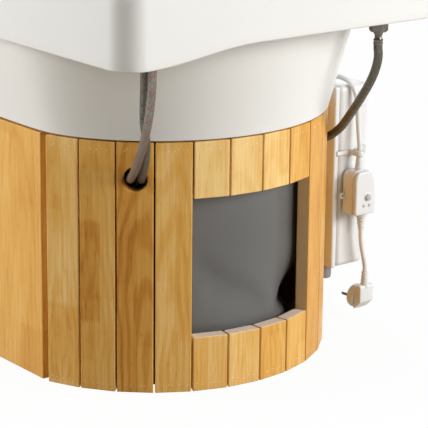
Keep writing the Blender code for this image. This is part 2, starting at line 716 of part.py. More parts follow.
# Waste: what the water runs through under the bowl.
def waste():
    seat = BOWL_FLOOR - DRAIN_RECESS + FIT
    tail_end = BOWL_FLOOR - BOWL_WALL - TAILPIECE_LENGTH
    tail = DRAIN_HOLE_RADIUS - 2 * FIT
    flange = [
        (FLANGE_BORE, seat + FLANGE_THICKNESS),
        (FLANGE_RADIUS, seat + FLANGE_THICKNESS / 2),
        (FLANGE_RADIUS, seat),
        (tail, seat),
        (tail, tail_end),
        (FLANGE_BORE, tail_end),
        (FLANGE_BORE, seat + FLANGE_THICKNESS),
    ]
    keep(turned("drain_flange", flange, (0, 0, 0)), CHROME)
    cup = FLANGE_BORE - 2 * FIT
    top = seat + FLANGE_THICKNESS + FIT
    strainer = [
        (0, top + 0.004),
        (cup + 0.004, top + 0.0015),
        (cup + 0.004, top),
        (cup, top - FIT),
        (cup - 0.0015, top - 0.022),
        (0, top - 0.022),
    ]
    keep(turned("drain_strainer", strainer, (0, 0, 0)), CHROME)
    shoulder = tail_end - FIT
    trap = [
        (0, shoulder),
        (DRAIN_HOLE_RADIUS + 0.006, shoulder),
        (DRAIN_HOLE_RADIUS + 0.006, shoulder - 0.018),
        (TRAP_RADIUS, shoulder - 0.026),
        (TRAP_RADIUS, shoulder - TRAP_HEIGHT + 0.018),
        (TRAP_RADIUS + 0.004, shoulder - TRAP_HEIGHT + 0.016),
        (TRAP_RADIUS + 0.002, shoulder - TRAP_HEIGHT),
        (0, shoulder - TRAP_HEIGHT),
    ]
    keep(turned("drain_trap", trap, (0, 0, 0)), WHITE_PLASTIC)
    start = shoulder - TRAP_HEIGHT - FIT
    pipe = [
        (0, start),
        (WASTE_PIPE_RADIUS, start),
        (WASTE_PIPE_RADIUS, FLOOR_PLATE_HEIGHT + PLATE_THICKNESS + 0.020),
        (WASTE_HOLE_RADIUS - FIT, FLOOR_PLATE_HEIGHT + PLATE_THICKNESS + 0.004),
        (WASTE_HOLE_RADIUS - FIT, FLOOR_PLATE_HEIGHT / 2),
        (0, FLOOR_PLATE_HEIGHT / 2),
    ]
    keep(turned("waste_pipe", pipe, (0, 0, 0)), GREY_PLASTIC)


# Mixer tap: a body with its spout, a stem that turns and a handle that turns and tilts on it.
def mixer():
    base = RIM_TOP + FIT
    top = base + TAP_HEIGHT
    body = turned(
        "mixer_body",
        [
            (0, top),
            (TAP_RADIUS - 0.003, top),
            (TAP_RADIUS, top - 0.003),
            (TAP_RADIUS, base + 0.010),
            (TAP_RADIUS + 0.004, base + 0.006),
            (TAP_RADIUS + 0.004, base),
            (TAP_SHANK_RADIUS, base),
            (TAP_SHANK_RADIUS, RIM_TOP - DECK_THICKNESS - TAP_SHANK_LENGTH),
            (0, RIM_TOP - DECK_THICKNESS - TAP_SHANK_LENGTH),
        ],
        (TAP_X, TAP_Y, 0),
    )
    aim = Vector((-TAP_X, -TAP_Y, 0)).normalized()
    root = Vector((TAP_X, TAP_Y, base + TAP_HEIGHT * 0.62))
    rise = Vector((0, 0, 1))
    route = [
        root,
        root + aim * SPOUT_REACH * 0.35 + rise * 0.016,
        root + aim * SPOUT_REACH * 0.75 + rise * 0.020,
        root + aim * SPOUT_REACH * 0.97 + rise * 0.006,
        root + aim * SPOUT_REACH - rise * 0.016,
    ]
    spout = as_mesh(tube("mixer_spout", smooth_path(route, 16), SPOUT_RADIUS, 3))
    combine(body, spout, "UNION")
    keep(body, CHROME)
    under = RIM_TOP - DECK_THICKNESS - FIT
    nut = turned(
        "mixer_backnut",
        ring_profile(TAP_SHANK_RADIUS + 0.007, TAP_SHANK_RADIUS + FIT, under, under - 0.009),
        (TAP_X, TAP_Y, 0),
    )
    keep(nut, BRASS)
    stem_base = top + FIT
    pivot = stem_base + STEM_HEIGHT
    stem = [(BALL_RADIUS * math.sin(t), BALL_RADIUS * math.cos(t)) for t in np.radians(range(0, 141, 20))]
    shelf, foot = 0.002 - STEM_HEIGHT, -STEM_HEIGHT
    stem += [(stem[-1][0], shelf), (0.010, shelf), (0.010, foot), (0, foot)]
    keep(turned("mixer_stem", stem, (TAP_X, TAP_Y, pivot), 16), CHROME)
    socket = BALL_RADIUS + FIT
    hollow = [(socket * math.cos(t), socket * math.sin(t)) for t in np.radians(range(0, 91, 18))]
    dome = HANDLE_HEIGHT
    handle = turned(
        "mixer_handle",
        [
            (0, dome),
            (HANDLE_RADIUS * 0.6, dome * 0.93),
            (HANDLE_RADIUS * 0.9, dome * 0.7),
            (HANDLE_RADIUS, dome * 0.35),
            (HANDLE_RADIUS, 0.001),
            (HANDLE_RADIUS - 0.001, 0),
            *hollow[:-1],
            (0, socket),
        ],
        (TAP_X, TAP_Y, pivot),
    )
    knob = Vector((TAP_X, TAP_Y, pivot + dome * 0.55))
    bend, tip = aim * HANDLE_LENGTH * 0.5 + rise * 0.006, aim * HANDLE_LENGTH + rise * 0.016
    lever = as_mesh(tube("mixer_lever", [knob, knob + bend, knob + tip], 0.0045))
    combine(handle, lever, "UNION")
    keep(handle, CHROME)


# Shower outlet through the deck, and the hex nut and ferrule of the hose that feeds it.
def shower_outlet():
    base = RIM_TOP + FIT
    nut_top = NUT_BOTTOM + NUT_HEIGHT
    outlet = [
        (0, base + 0.026),
        (0.0095, base + 0.026),
        (0.0105, base + 0.025),
        (0.0105, base + 0.010),
        (0.0160, base + 0.006),
        (0.0180, base + 0.002),
        (0.0180, base),
        (OUTLET_SHANK_RADIUS, base),
        (OUTLET_SHANK_RADIUS, nut_top + FIT),
        (0, nut_top + FIT),
    ]
    keep(turned("shower_outlet", outlet, (OUTLET_X, OUTLET_Y, 0)), CHROME)
    corner = NUT_ACROSS_FLATS / 2 / math.cos(math.pi / 6)
    bm = bmesh.new()
    bmesh.ops.create_cone(bm, cap_ends=True, segments=6, radius1=corner, radius2=corner, depth=NUT_HEIGHT)
    nut = mesh_object("shower_hose_nut", bm)
    nut.location = (OUTLET_X, OUTLET_Y, NUT_BOTTOM + NUT_HEIGHT / 2)
    nut.rotation_euler = (0, 0, math.radians(10))
    bevel(nut, 0.0012)
    neck = FERRULE_RADIUS
    ferrule = turned(
        "hose_ferrule",
        [
            (0, NUT_BOTTOM + 0.004),
            (neck, NUT_BOTTOM + 0.004),
            (neck, NUT_BOTTOM - 0.003),
            (neck - 0.0012, NUT_BOTTOM - 0.005),
            (neck - 0.0012, NUT_BOTTOM - 0.009),
            (neck + 0.0004, NUT_BOTTOM - 0.011),
            (neck + 0.0004, NUT_BOTTOM - FERRULE_LENGTH),
            (0, NUT_BOTTOM - FERRULE_LENGTH),
        ],
        (OUTLET_X, OUTLET_Y, 0),
    )
    combine(nut, as_mesh(ferrule), "UNION")
    keep(nut, CHROME)


# Hoses: two slim tap tails that cross in front of the bowl, and the thicker shower hose on the right.
# Each route runs from its coupling at the rim, through its hole, to its coupling inside the base.
TAP_TAIL_TOP = RIM_TOP - DECK_THICKNESS - TAP_SHANK_LENGTH - FIT
COUPLING_X = PANEL_INNER_X - FIT - MANIFOLD_DEPTH / 2
COUPLING_TOP = MANIFOLD_HEIGHT + NIPPLE_LENGTH + FIT
HOT_ROUTE = [
    (-0.2360, -0.3182, TAP_TAIL_TOP),
    (-0.2360, -0.3182, 0.5450),
    (-0.2360, -0.3181, 0.5150),
    (-0.2358, -0.3175, 0.4900),
    (-0.2356, -0.3160, 0.4700),
    (-0.2348, -0.3112, 0.4445),
    (-0.2303, -0.2990, 0.4190),
    (-0.2165, -0.2698, 0.3840),
    (-0.2040, -0.2420, 0.3560),
    (-0.1925, -0.2160, 0.3320),
    (-0.1815, -0.1935, 0.3175),
    (-0.1665, -0.1738, 0.3110),
    (-0.1540, -0.1590, 0.3040),
    (-0.1520, -0.1400, 0.2860),
    (-0.1640, -0.1120, 0.2600),
    (-0.1820, -0.0790, 0.2320),
    (-0.2000, -0.0480, 0.2050),
    (-0.2140, -0.0270, 0.1830),
    (-COUPLING_X, -0.0200, 0.1680),
    (-COUPLING_X, -0.0200, COUPLING_TOP),
]
COLD_ROUTE = [
    (-0.2385, -0.3052, TAP_TAIL_TOP),
    (-0.2385, -0.3052, 0.5450),
    (-0.2386, -0.3050, 0.5150),
    (-0.2382, -0.3040, 0.4900),
    (-0.2370, -0.3015, 0.4700),
    (-0.2308, -0.2922, 0.4405),
    (-0.2215, -0.2800, 0.4185),
    (-0.2080, -0.2650, 0.3955),
    (-0.1920, -0.2440, 0.3655),
    (-0.1780, -0.2195, 0.3350),
    (-0.1679, -0.2000, 0.3165),
    (-0.1555, -0.1837, 0.3110),
    (-0.1400, -0.1680, 0.3030),
    (-0.1300, -0.1440, 0.2850),
    (-0.1340, -0.1070, 0.2590),
    (-0.1550, -0.0600, 0.2320),
    (-0.1850, -0.0130, 0.2080),
    (-0.2080, 0.0130, 0.1880),
    (-COUPLING_X, 0.0200, 0.1680),
    (-COUPLING_X, 0.0200, COUPLING_TOP),
]
SHOWER_ROUTE = [
    (OUTLET_X, OUTLET_Y, NUT_BOTTOM - FERRULE_LENGTH - FIT),
    (OUTLET_X, OUTLET_Y, 0.4790),
    (0.1785, -0.2995, 0.4640),
    (0.1790, -0.2935, 0.4445),
    (0.1800, -0.2820, 0.4243),
    (0.1840, -0.2630, 0.4017),
    (0.1915, -0.2385, 0.3775),
    (0.2040, -0.2050, 0.3490),
    (0.2110, -0.1860, 0.3345),
    (0.2110, -0.1700, 0.3220),
    (0.2070, -0.1584, 0.3145),
    (0.2027, -0.1473, 0.3110),
    (0.1984, -0.1362, 0.3080),
    (0.1925, -0.1150, 0.2985),
    (0.1890, -0.0900, 0.2770),
    (0.1920, -0.0550, 0.2480),
    (0.2030, -0.0250, 0.2180),
    (0.2130, -0.0060, 0.1900),
    (COUPLING_X, 0.0000, 0.1720),
    (COUPLING_X, 0.0000, COUPLING_TOP),
]


def route_length(points):
    return sum((Vector(b) - Vector(a)).length for a, b in zip(points, points[1:]))


def flexible(name, route, diameter, finish):
    """A hose or lead along its route, with straight stretches at its ends, square to their couplings."""
    between = route[1:-1]
    count = max(6, round(route_length(between) / (FLEX_STEP * diameter)))
    keep(tube(name, [route[0], *smooth_path(between, count), route[-1]], diameter / 2), finish)


def hoses():
    flexible("hot_hose", HOT_ROUTE, TAP_HOSE_DIAMETER, BRAID)
    flexible("cold_hose", COLD_ROUTE, TAP_HOSE_DIAMETER, BRAID)
    flexible("shower_hose", SHOWER_ROUTE, SHOWER_HOSE_DIAMETER, BRAID)


def coupling_block(name, ends):
    """A brass block on the inside of a side panel, with an upright nipple under each hose end."""
    x = ends[0][0]
    half = MANIFOLD_HALF_LENGTH * len(ends) / 2
    low, high = x - MANIFOLD_DEPTH / 2, x + MANIFOLD_DEPTH / 2
    block = box(name, (low, -half, MANIFOLD_HEIGHT - 0.022), (high, half, MANIFOLD_HEIGHT))
    for index, (x, y, _) in enumerate(ends):
        top = MANIFOLD_HEIGHT + NIPPLE_LENGTH
        nipple = [
            (0, top),
            (NIPPLE_RADIUS - 0.001, top),
            (NIPPLE_RADIUS, top - 0.001),
            (NIPPLE_RADIUS, MANIFOLD_HEIGHT - 0.010),
            (0, MANIFOLD_HEIGHT - 0.010),
        ]
        combine(block, as_mesh(turned(f"{name}_nipple_{index}", nipple, (x, y, 0), 16)), "UNION")
    keep(block, BRASS)


def couplings():
    coupling_block("supply_manifold", [HOT_ROUTE[-1], COLD_ROUTE[-1]])
    coupling_block("shower_coupling", [SHOWER_ROUTE[-1]])


# Curtain inside the window: a vinyl sheet tacked under the top ring, its lower right corner curled in.
def curtain():
    top = BASE_HEIGHT - PLATE_THICKNESS - FIT
    bm = bmesh.new()
    bmesh.ops.create_grid(bm, x_segments=16, y_segments=10, size=1)
    for vert in bm.verts:
        u, v = (vert.co.x + 1) / 2, (vert.co.y + 1) / 2
        curl = float(ease((0.47 - v) / 0.30) * ease((u - 0.6) / 0.4))
        angle = CURTAIN_LEFT + u * (CURTAIN_RIGHT - CURTAIN_LEFT) - CURTAIN_SWING * curl
        height = CURTAIN_BOTTOM + v * (top - CURTAIN_BOTTOM)
        vert.co = around_nose(CURTAIN_RADIUS - CURTAIN_CURL * curl, angle, height)
    obj = mesh_object("window_curtain", bm)
    sheet = obj.modifiers.new("thickness", "SOLIDIFY")
    sheet.thickness = CURTAIN_THICKNESS
    keep(smooth(obj), CURTAIN_VINYL)


# Water heater: two shells on a bracket on the right side panel, pipe stubs under it, the cord gland on top.
def heater():
    back = HEATER_FRONT + HEATER_WIDTH
    top = HEATER_TOP
    wall = HEATER_WALL
    middle = Vector(((PANEL_X + wall) / 2, (PANEL_START + back) / 2, (HEATER_BOTTOM + top) / 2))
    half = Vector((HEATER_STAND_OFF / 2 - FIT, HEATER_BRACKET_WIDTH / 2, HEATER_BRACKET_HEIGHT / 2))
    keep(box("heater_bracket", middle - half, middle + half), CHROME)
    joint = wall + HEATER_BACK_DEPTH
    shell = box("heater_back_shell", (wall, HEATER_FRONT, HEATER_BOTTOM), (joint, back, top))
    keep(bevel(shell, HEATER_BACK_ROUND, 2), WHITE_PLASTIC)
    front = joint + FIT
    far = front + HEATER_COVER_DEPTH
    cover = box("heater_cover", (front, HEATER_FRONT, HEATER_BOTTOM), (far, back, top))
    for vert in cover.data.vertices:
        if vert.co.x > 0 and vert.co.z < 0:
            vert.co.x -= HEATER_COVER_LEAN
    keep(bevel(cover, HEATER_ROUND, 3), WHITE_PLASTIC)
    x = wall + HEATER_PIPE_FROM_WALL
    inset = HEATER_PIPE_INSET
    for name, y in (("heater_inlet", HEATER_FRONT + inset), ("heater_outlet", back - inset)):
        stub = [
            (0, HEATER_BOTTOM - FIT),
            (HEATER_PIPE_RADIUS + 0.002, HEATER_BOTTOM - FIT),
            (HEATER_PIPE_RADIUS + 0.002, HEATER_BOTTOM - 0.006),
            (HEATER_PIPE_RADIUS, HEATER_BOTTOM - 0.007),
            (HEATER_PIPE_RADIUS, HEATER_BOTTOM - HEATER_PIPE_LENGTH),
            (0, HEATER_BOTTOM - HEATER_PIPE_LENGTH),
        ]
        keep(turned(name, stub, (x, y, 0), 16), GREY_PLASTIC)
    width, length, height = GLAND_SIZE
    cx, start = CORD_ROUTE[0][0], CORD_ROUTE[0][1] + FIT
    low = (cx - width / 2, start, top + FIT)
    high = (cx + width / 2, start + length, top + height)
    keep(bevel(box("heater_gland", low, high), 0.002), WHITE_PLASTIC)


# Mains lead: out of the gland, over the heater's front edge, through the leakage switch to the plug.
# Its points are given from the wall, from the heater's front and from the heater's top.
CORD_FROM_HEATER = [
    (0.0189, 0.0520, 0.0088),
    (0.0189, 0.0440, 0.0088),
    (0.0214, 0.0320, 0.0092),
    (0.0244, 0.0212, 0.0088),
    (0.0284, 0.0056, 0.0060),
    (0.0319, -0.0060, -0.0052),
    (0.0344, -0.0088, -0.0212),
    (0.0359, -0.0092, -0.0366),
    (0.0364, -0.0105, -0.0516),
    (0.0364, -0.0132, -0.0666),
    (0.0361, -0.0158, -0.0806),
]
CORD_ROUTE = [(HEATER_WALL + x, HEATER_FRONT + y, HEATER_TOP + z) for x, y, z in CORD_FROM_HEATER]
CORD_ROUTE += [
    (SWITCH_X, SWITCH_Y, SWITCH_TOP + TOP_RELIEF_LENGTH + 0.0185),
    (SWITCH_X, SWITCH_Y, SWITCH_TOP + TOP_RELIEF_LENGTH + FIT),
]
PLUG_CORD_FROM_SWITCH = [
    (0.0080, -BOTTOM_RELIEF_LENGTH - FIT),
    (0.0080, -0.0345),
    (0.0092, -0.0505),
    (0.0124, -0.0655),
    (0.0166, -0.0795),
    (0.0190, -0.0915),
    (0.0190, -0.0990),
]
PLUG_CORD_ROUTE = [(SWITCH_X + x, SWITCH_Y, SWITCH_BOTTOM + z) for x, z in PLUG_CORD_FROM_SWITCH]


def mains_cord():
    flexible("power_cord", CORD_ROUTE, CORD_DIAMETER, WHITE_PLASTIC)
    flexible("plug_cord", PLUG_CORD_ROUTE, CORD_DIAMETER, WHITE_PLASTIC)


def cord_relief(name, place, top, length, flare):
    """A tapered strain relief, with its thick end flare above or below."""
    thick, thin = RELIEF_RADIUS + 0.0012, RELIEF_RADIUS - 0.0008
    upper, lower = (thin, thick) if flare == "down" else (thick, thin)
    profile = [(0, top), (upper, top), (lower, top - length), (0, top - length)]
    return as_mesh(turned(name, profile, place, 12))


def switch_shell(name, near, far):
    """One half of the leakage switch: its front outline, seen from the nose, given the shell's depth."""
    half, tall = SWITCH_WIDTH / 2, SWITCH_HEIGHT
    shoulder = tall * 0.64
    outline = [(-half, 0), (half, 0), (half, shoulder)]
    outline += [(half * 0.62, tall), (-half * 0.80, tall), (-half, tall * 0.9)]
    shell = plate(name, [outline], -(far - near) / 2, far - near)
    shell.rotation_euler = (math.pi / 2, 0, 0)
    shell = as_mesh(shell)
    middle = Vector((SWITCH_X, (near + far) / 2, SWITCH_BOTTOM))
    shell.matrix_world = Matrix.Translation(middle) @ shell.matrix_world
    return bevel(shell, 0.003, 2)


def leakage_switch():
    front = switch_shell("switch_front_shell", SWITCH_FRONT, SWITCH_FRONT + SWITCH_SHELL)
    button_x = SWITCH_X + SWITCH_WIDTH * 0.12
    button_z = SWITCH_BOTTOM + SWITCH_HEIGHT * 0.40
    pocket = round_cutter(
        "button_pocket", BUTTON_RADIUS + FIT, 2 * (BUTTON_TRAVEL + 0.004),
        (button_x, SWITCH_FRONT, button_z), (0, 1, 0), 20,
    )
    combine(front, pocket, "DIFFERENCE")
    keep(front, WHITE_PLASTIC)
    near = SWITCH_FRONT + SWITCH_SHELL + FIT
    rear = switch_shell("switch_rear_shell", near, near + SWITCH_SHELL)
    lug_place = (SWITCH_X - SWITCH_WIDTH / 2, near + SWITCH_SHELL / 2, SWITCH_BOTTOM + SWITCH_HEIGHT * 0.42)
    combine(rear, round_cutter("tie_lug", 0.0035, 0.012, lug_place, (1, 0, 0), 12), "UNION")
    keep(rear, WHITE_PLASTIC)
    button = turned(
        "switch_button",
        [
            (0, BUTTON_PROUD),
            (BUTTON_RADIUS - 0.001, BUTTON_PROUD),
            (BUTTON_RADIUS, BUTTON_PROUD - 0.001),
            (BUTTON_RADIUS, -0.0037),
            (0, -0.0037),
        ],
        (button_x, SWITCH_FRONT, button_z),
        20,
    )
    button.rotation_euler = (math.pi / 2, 0, 0)
    keep(button, GREY_PLASTIC)
    top, length = SWITCH_TOP + TOP_RELIEF_LENGTH, TOP_RELIEF_LENGTH - FIT
    keep(cord_relief("switch_top_relief", (SWITCH_X, SWITCH_Y, 0), top, length, "down"), WHITE_PLASTIC)
    top, length = SWITCH_BOTTOM - FIT, BOTTOM_RELIEF_LENGTH - FIT
    place = (PLUG_CORD_ROUTE[0][0], SWITCH_Y, 0)
    keep(cord_relief("switch_bottom_relief", place, top, length, "up"), WHITE_PLASTIC)


def plug():
    """A plug with a round head, a wedge-shaped grip behind it and the lead coming down into its top. It hangs turned
    about the lead, so that its pins point back past the base."""
    lead_x, lead_y, lead_end = PLUG_CORD_ROUTE[-1]
    hang = Matrix.Translation((lead_x, lead_y, PLUG_CENTRE_HEIGHT)) @ Matrix.Rotation(-PLUG_TURN, 4, "Z")
    aim = Matrix.Rotation(-math.pi / 2, 4, "Y")
    radius, length = PLUG_FACE_RADIUS, PLUG_HEAD_LENGTH
    head_profile = [(0, 0), (radius - 0.001, 0), (radius, -0.001), (radius, 0.001 - length)]
    head_profile += [(radius - 0.001, -length), (0, -length)]
    body = turned("plug_body", head_profile, (0, 0, 0), 28)
    body.matrix_world = hang @ Matrix.Translation((-PLUG_FACE_REACH, 0, 0)) @ aim
    near, back = length - PLUG_FACE_REACH - 0.002, PLUG_GRIP_REACH
    wedge = [(near, -radius * 0.70), (back, -radius * 0.26), (back, radius * 0.70)]
    wedge += [(back - 0.003, radius * 0.86), (near, radius * 0.66)]
    grip = plate("plug_grip", [wedge], -PLUG_GRIP_WIDTH / 2, PLUG_GRIP_WIDTH)
    grip.matrix_world = hang @ Matrix.Rotation(math.pi / 2, 4, "X")
    combine(body, as_mesh(grip), "UNION")
    top = lead_end - FIT
    relief = cord_relief("plug_relief", (lead_x, lead_y, 0), top, top - PLUG_CENTRE_HEIGHT, "down")
    combine(body, relief, "UNION")
    keep(body, WHITE_PLASTIC)
    for name, side in (("plug_pin_front", -1), ("plug_pin_rear", 1)):
        pin = turned(
            name,
            [(0, PIN_LENGTH), (PIN_RADIUS - 0.0008, PIN_LENGTH), (PIN_RADIUS, PIN_LENGTH - 0.0012),
             (PIN_RADIUS, FIT), (0, FIT)],
            (0, 0, 0),
            12,
        )
        pin.matrix_world = hang @ Matrix.Translation((-PLUG_FACE_REACH, side * PIN_SPACING / 2, 0)) @ aim
        keep(pin, CHROME)


def cord_strap():
    """A strap on the heater's front that loops over the cord, just above the leakage switch."""
    wall, reach_out = STRAP_WALL, CORD_DIAMETER / 2 + 2 * FIT
    cx, cy, _ = CORD_ROUTE[-1]
    face = HEATER_FRONT - FIT
    left, right = cx - STRAP_LEFT, cx + STRAP_RIGHT
    turns = np.radians(range(0, 181, 30))
    outer, inner = reach_out + wall, reach_out
    outline = [(right, face), (right, face - wall), (cx + outer, face - wall)]
    outline += [(cx + outer * math.cos(t), cy - outer * math.sin(t)) for t in turns]
    outline += [(cx - outer, face - wall), (left, face - wall), (left, face), (cx - inner, face)]
    outline += [(cx - inner * math.cos(t), cy - inner * math.sin(t)) for t in turns]
    outline += [(cx + inner, face)]
    bottom = SWITCH_TOP + TOP_RELIEF_LENGTH + STRAP_WIDTH / 4
    keep(plate("cord_strap", [outline], bottom, STRAP_WIDTH), WHITE_PLASTIC)


# Bed: a deck on the base, and the mattress on it.
def bed():
    front = BED_FRONT
    top = BASE_HEIGHT + FIT
    deck = box(
        "bed_deck",
        (-DECK_HALF_WIDTH, front + BED_DECK_INSET, top),
        (DECK_HALF_WIDTH, BED_END, top + BED_DECK_THICKNESS),
    )
    keep(bevel(deck, 0.004), RUBBERWOOD)
    seat = top + BED_DECK_THICKNESS + FIT
    length = BED_END - front
    bm = bmesh.new()
    bmesh.ops.create_cube(bm, size=2)
    bmesh.ops.subdivide_edges(bm, edges=bm.edges, cuts=5, use_grid_fill=True)
    for vert in bm.verts:
        u, v, w = (math.copysign(abs(c) ** 0.7, c) for c in vert.co)
        crown = MATTRESS_CROWN * (1 - u * u) * (1 - v * v) * (w > 0.99)
        tuck = MATTRESS_SIDE_TUCK * (1 - w * w)
        x = u * (MATTRESS_HALF_WIDTH - tuck * (abs(u) > 0.99) * (1 - v**4))
        y = v * (length / 2 - tuck * (abs(v) > 0.99) * (1 - u**4))
        vert.co = (x, y, (w + 1) / 2 * (MATTRESS_HEIGHT - MATTRESS_CROWN) + crown)
    mattress = mesh_object("mattress", bm)
    soften = mattress.modifiers.new("soften", "SUBSURF")
    soften.levels = soften.render_levels = 1
    mattress.location = (0, front + length / 2, seat)
    keep(smooth(mattress, math.radians(80)), LEATHERETTE)


nose_boards()
side_panels()
foot_panel()
inner_frames()
basin()
neck_rest()
waste()
mixer()
shower_outlet()
hoses()
couplings()
curtain()
heater()
mains_cord()
leakage_switch()
plug()
cord_strap()
bed()
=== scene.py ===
"""Looks of a hair washing bed: its wooden base, ceramic basin, hoses, water heater and padded bed.

The file follows the bed as it is put together. Sizes are metres in the part's own frame: the basin end at -Y,
the foot at +Y and the floor at Z 0. The nose and the bowl share an upright axis at X 0 and Y HEAD_Y. Colours are
linear.
"""

import math

import bmesh
import bpy
import numpy as np
from mathutils import Matrix, Vector


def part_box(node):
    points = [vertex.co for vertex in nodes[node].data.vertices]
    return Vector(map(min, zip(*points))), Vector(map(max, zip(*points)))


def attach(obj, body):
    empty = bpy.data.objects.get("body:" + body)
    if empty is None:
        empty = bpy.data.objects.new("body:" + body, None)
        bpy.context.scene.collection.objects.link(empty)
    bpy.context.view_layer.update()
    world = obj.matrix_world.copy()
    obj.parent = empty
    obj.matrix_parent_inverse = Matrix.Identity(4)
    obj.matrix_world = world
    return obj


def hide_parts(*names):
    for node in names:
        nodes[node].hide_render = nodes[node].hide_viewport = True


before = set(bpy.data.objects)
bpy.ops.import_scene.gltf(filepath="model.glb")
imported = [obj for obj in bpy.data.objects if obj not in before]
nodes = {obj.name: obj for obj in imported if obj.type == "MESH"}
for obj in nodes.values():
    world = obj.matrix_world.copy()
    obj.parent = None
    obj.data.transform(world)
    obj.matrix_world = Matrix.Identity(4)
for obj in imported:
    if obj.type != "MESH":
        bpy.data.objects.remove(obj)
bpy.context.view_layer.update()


# Nose boards: planed rubberwood, glued up from short finger-jointed strips and nailed upright round the nose.
# Their edges are eased, and a thin satin lacquer keeps the grain in sight. Two of them are bored for the hoses.
HEAD_Y = -0.758
NOSE_RADIUS = 0.262
SEAM = math.radians(12)
SIDE_COUNT = 6
BOARD_FACE = NOSE_RADIUS * math.cos(SEAM / 2)
BOARD_THICKNESS = 0.020
BOARD_GAP = 0.0025
BASE_HEIGHT = 0.368
WINDOW_BOTTOM, WINDOW_TOP = 0.081, 0.286
WINDOW_BOARDS = range(-2, 2)
BORED_BOARDS = {-4: 0.315, 4: 0.311}
HOSE_HOLE_RADIUS = 0.0175
EASED = 0.0016
STRIP_LENGTH, FINGER_WIDTH, FINGER_SLOPE = 0.187, 0.0018, 4.2
RINGS_PER_METRE, PITH_DEPTH, PITH_LEAN = 95, 0.016, 0.12
WOOD_TONES = [
    (0.0, (0.19, 0.052, 0.007)), (0.25, (0.38, 0.132, 0.016)), (0.5, (0.60, 0.272, 0.043)),
    (0.75, (0.745, 0.415, 0.098)), (1.0, (0.87, 0.615, 0.262)),
]
# The boards' side faces and the sills' tops take pale colours: unlacquered cut wood with painted light on it, so that
# the window's jamb and the sill tops look lit.
BARE_TOP_PAINTED_LIT, SAWN_SIDE_PAINTED_LIT_PALE, SAWN_SIDE_PAINTED_LIT_DARK = (0.93, 0.78, 0.63, 1), (0.92, 0.66, 0.39, 1), (0.86, 0.58, 0.31, 1)


class Value:
    """A socket of a material's nodes. Arithmetic on it adds Math nodes, and node() adds any other node."""

    def __init__(self, socket):
        self.socket = socket

    def node(self, kind, settings=None, inputs=None, output=0):
        """Adds a node: its settings come first, then its inputs, each a number, a colour or a Value."""
        tree = self.socket.id_data
        made = tree.nodes.new("ShaderNode" + kind)
        for name, setting in (settings or {}).items():
            if name == "stops":
                elements = made.color_ramp.elements
                for _ in setting[2:]:
                    elements.new(0.5)
                for element, (position, colour) in zip(elements, setting):
                    element.position, element.color = position, (*colour, 1)
            else:
                setattr(made, name, setting)
        for name, value in (inputs or {}).items():
            if isinstance(value, Value):
                tree.links.new(value.socket, made.inputs[name])
            else:
                made.inputs[name].default_value = value
        return Value(made.outputs[output])

    def other(self, output):
        """Another output of the same node."""
        return Value(self.socket.node.outputs[output])

    def math(self, operation, *others):
        """A Math node of this value and the others."""
        return self.node("Math", {"operation": operation}, dict(enumerate((self, *others))))

    def __add__(self, other):
        return self.math("ADD", other)

    def __sub__(self, other):
        return self.math("SUBTRACT", other)

    def __rsub__(self, other):
        return self.node("Math", {"operation": "SUBTRACT"}, {0: other, 1: self})

    def __mul__(self, other):
        return self.math("MULTIPLY", other)

    def __truediv__(self, other):
        return self.math("DIVIDE", other)

    def __gt__(self, other):
        return self.math("GREATER_THAN", other)

    __radd__, __rmul__ = __add__, __mul__

    def off_middle(self):
        """How far this value is from the middle between two whole numbers, 0 to 0.5."""
        return (self.math("FRACT") - 0.5).math("ABSOLUTE")

    def rise(self, start, end):
        """A smooth step from 0 at start to 1 at end."""
        limits = {"Value": self, "From Min": start, "From Max": end}
        return self.node("MapRange", {"interpolation_type": "SMOOTHSTEP"}, limits)

    def mix(self, first, second):
        """The first colour where this value is 0, the second where it is 1."""
        return self.node("Mix", {"data_type": "RGBA"}, {0: self, 6: first, 7: second}, 2)

    def stored(self, name):
        """The x, y and z of a vector that is stored on the mesh."""
        return self.node("Attribute", {"attribute_name": name}, None, "Vector").apart()

    def apart(self):
        """The x, y and z of this vector."""
        x = self.node("SeparateXYZ", None, {0: self})
        return x, x.other("Y"), x.other("Z")

    def vector(self, x, y, z):
        """A vector of three values."""
        return self.node("CombineXYZ", None, {0: x, 1: y, 2: z})

    def noise(self, scale=1.0, detail=2.0):
        """Cloudy noise from 0 to 1 at this point in space."""
        return self.node("TexNoise", None, {"Vector": self, "Scale": scale, "Detail": detail})

    def bump(self, distance):
        """A normal for this height, whose full step is that many metres."""
        return self.node("Bump", None, {"Height": self, "Distance": distance})


def coat(name, slot, fixed, paint):
    """A finish: a material, and the record's slot that it stands for. Fixed numbers go on the shader's own sockets,
    and paint makes the others from the object's coordinates."""
    made = bpy.data.materials.new(name)
    made.use_nodes = True
    tree = made.node_tree
    shader = tree.nodes["Principled BSDF"]
    for socket, number in fixed.items():
        shader.inputs[socket].default_value = number
    place = Value(tree.nodes.new("ShaderNodeTexCoord").outputs["Object"])
    for socket, value in paint(place).items():
        tree.links.new(value.socket, shader.inputs[socket])
    return made, slot


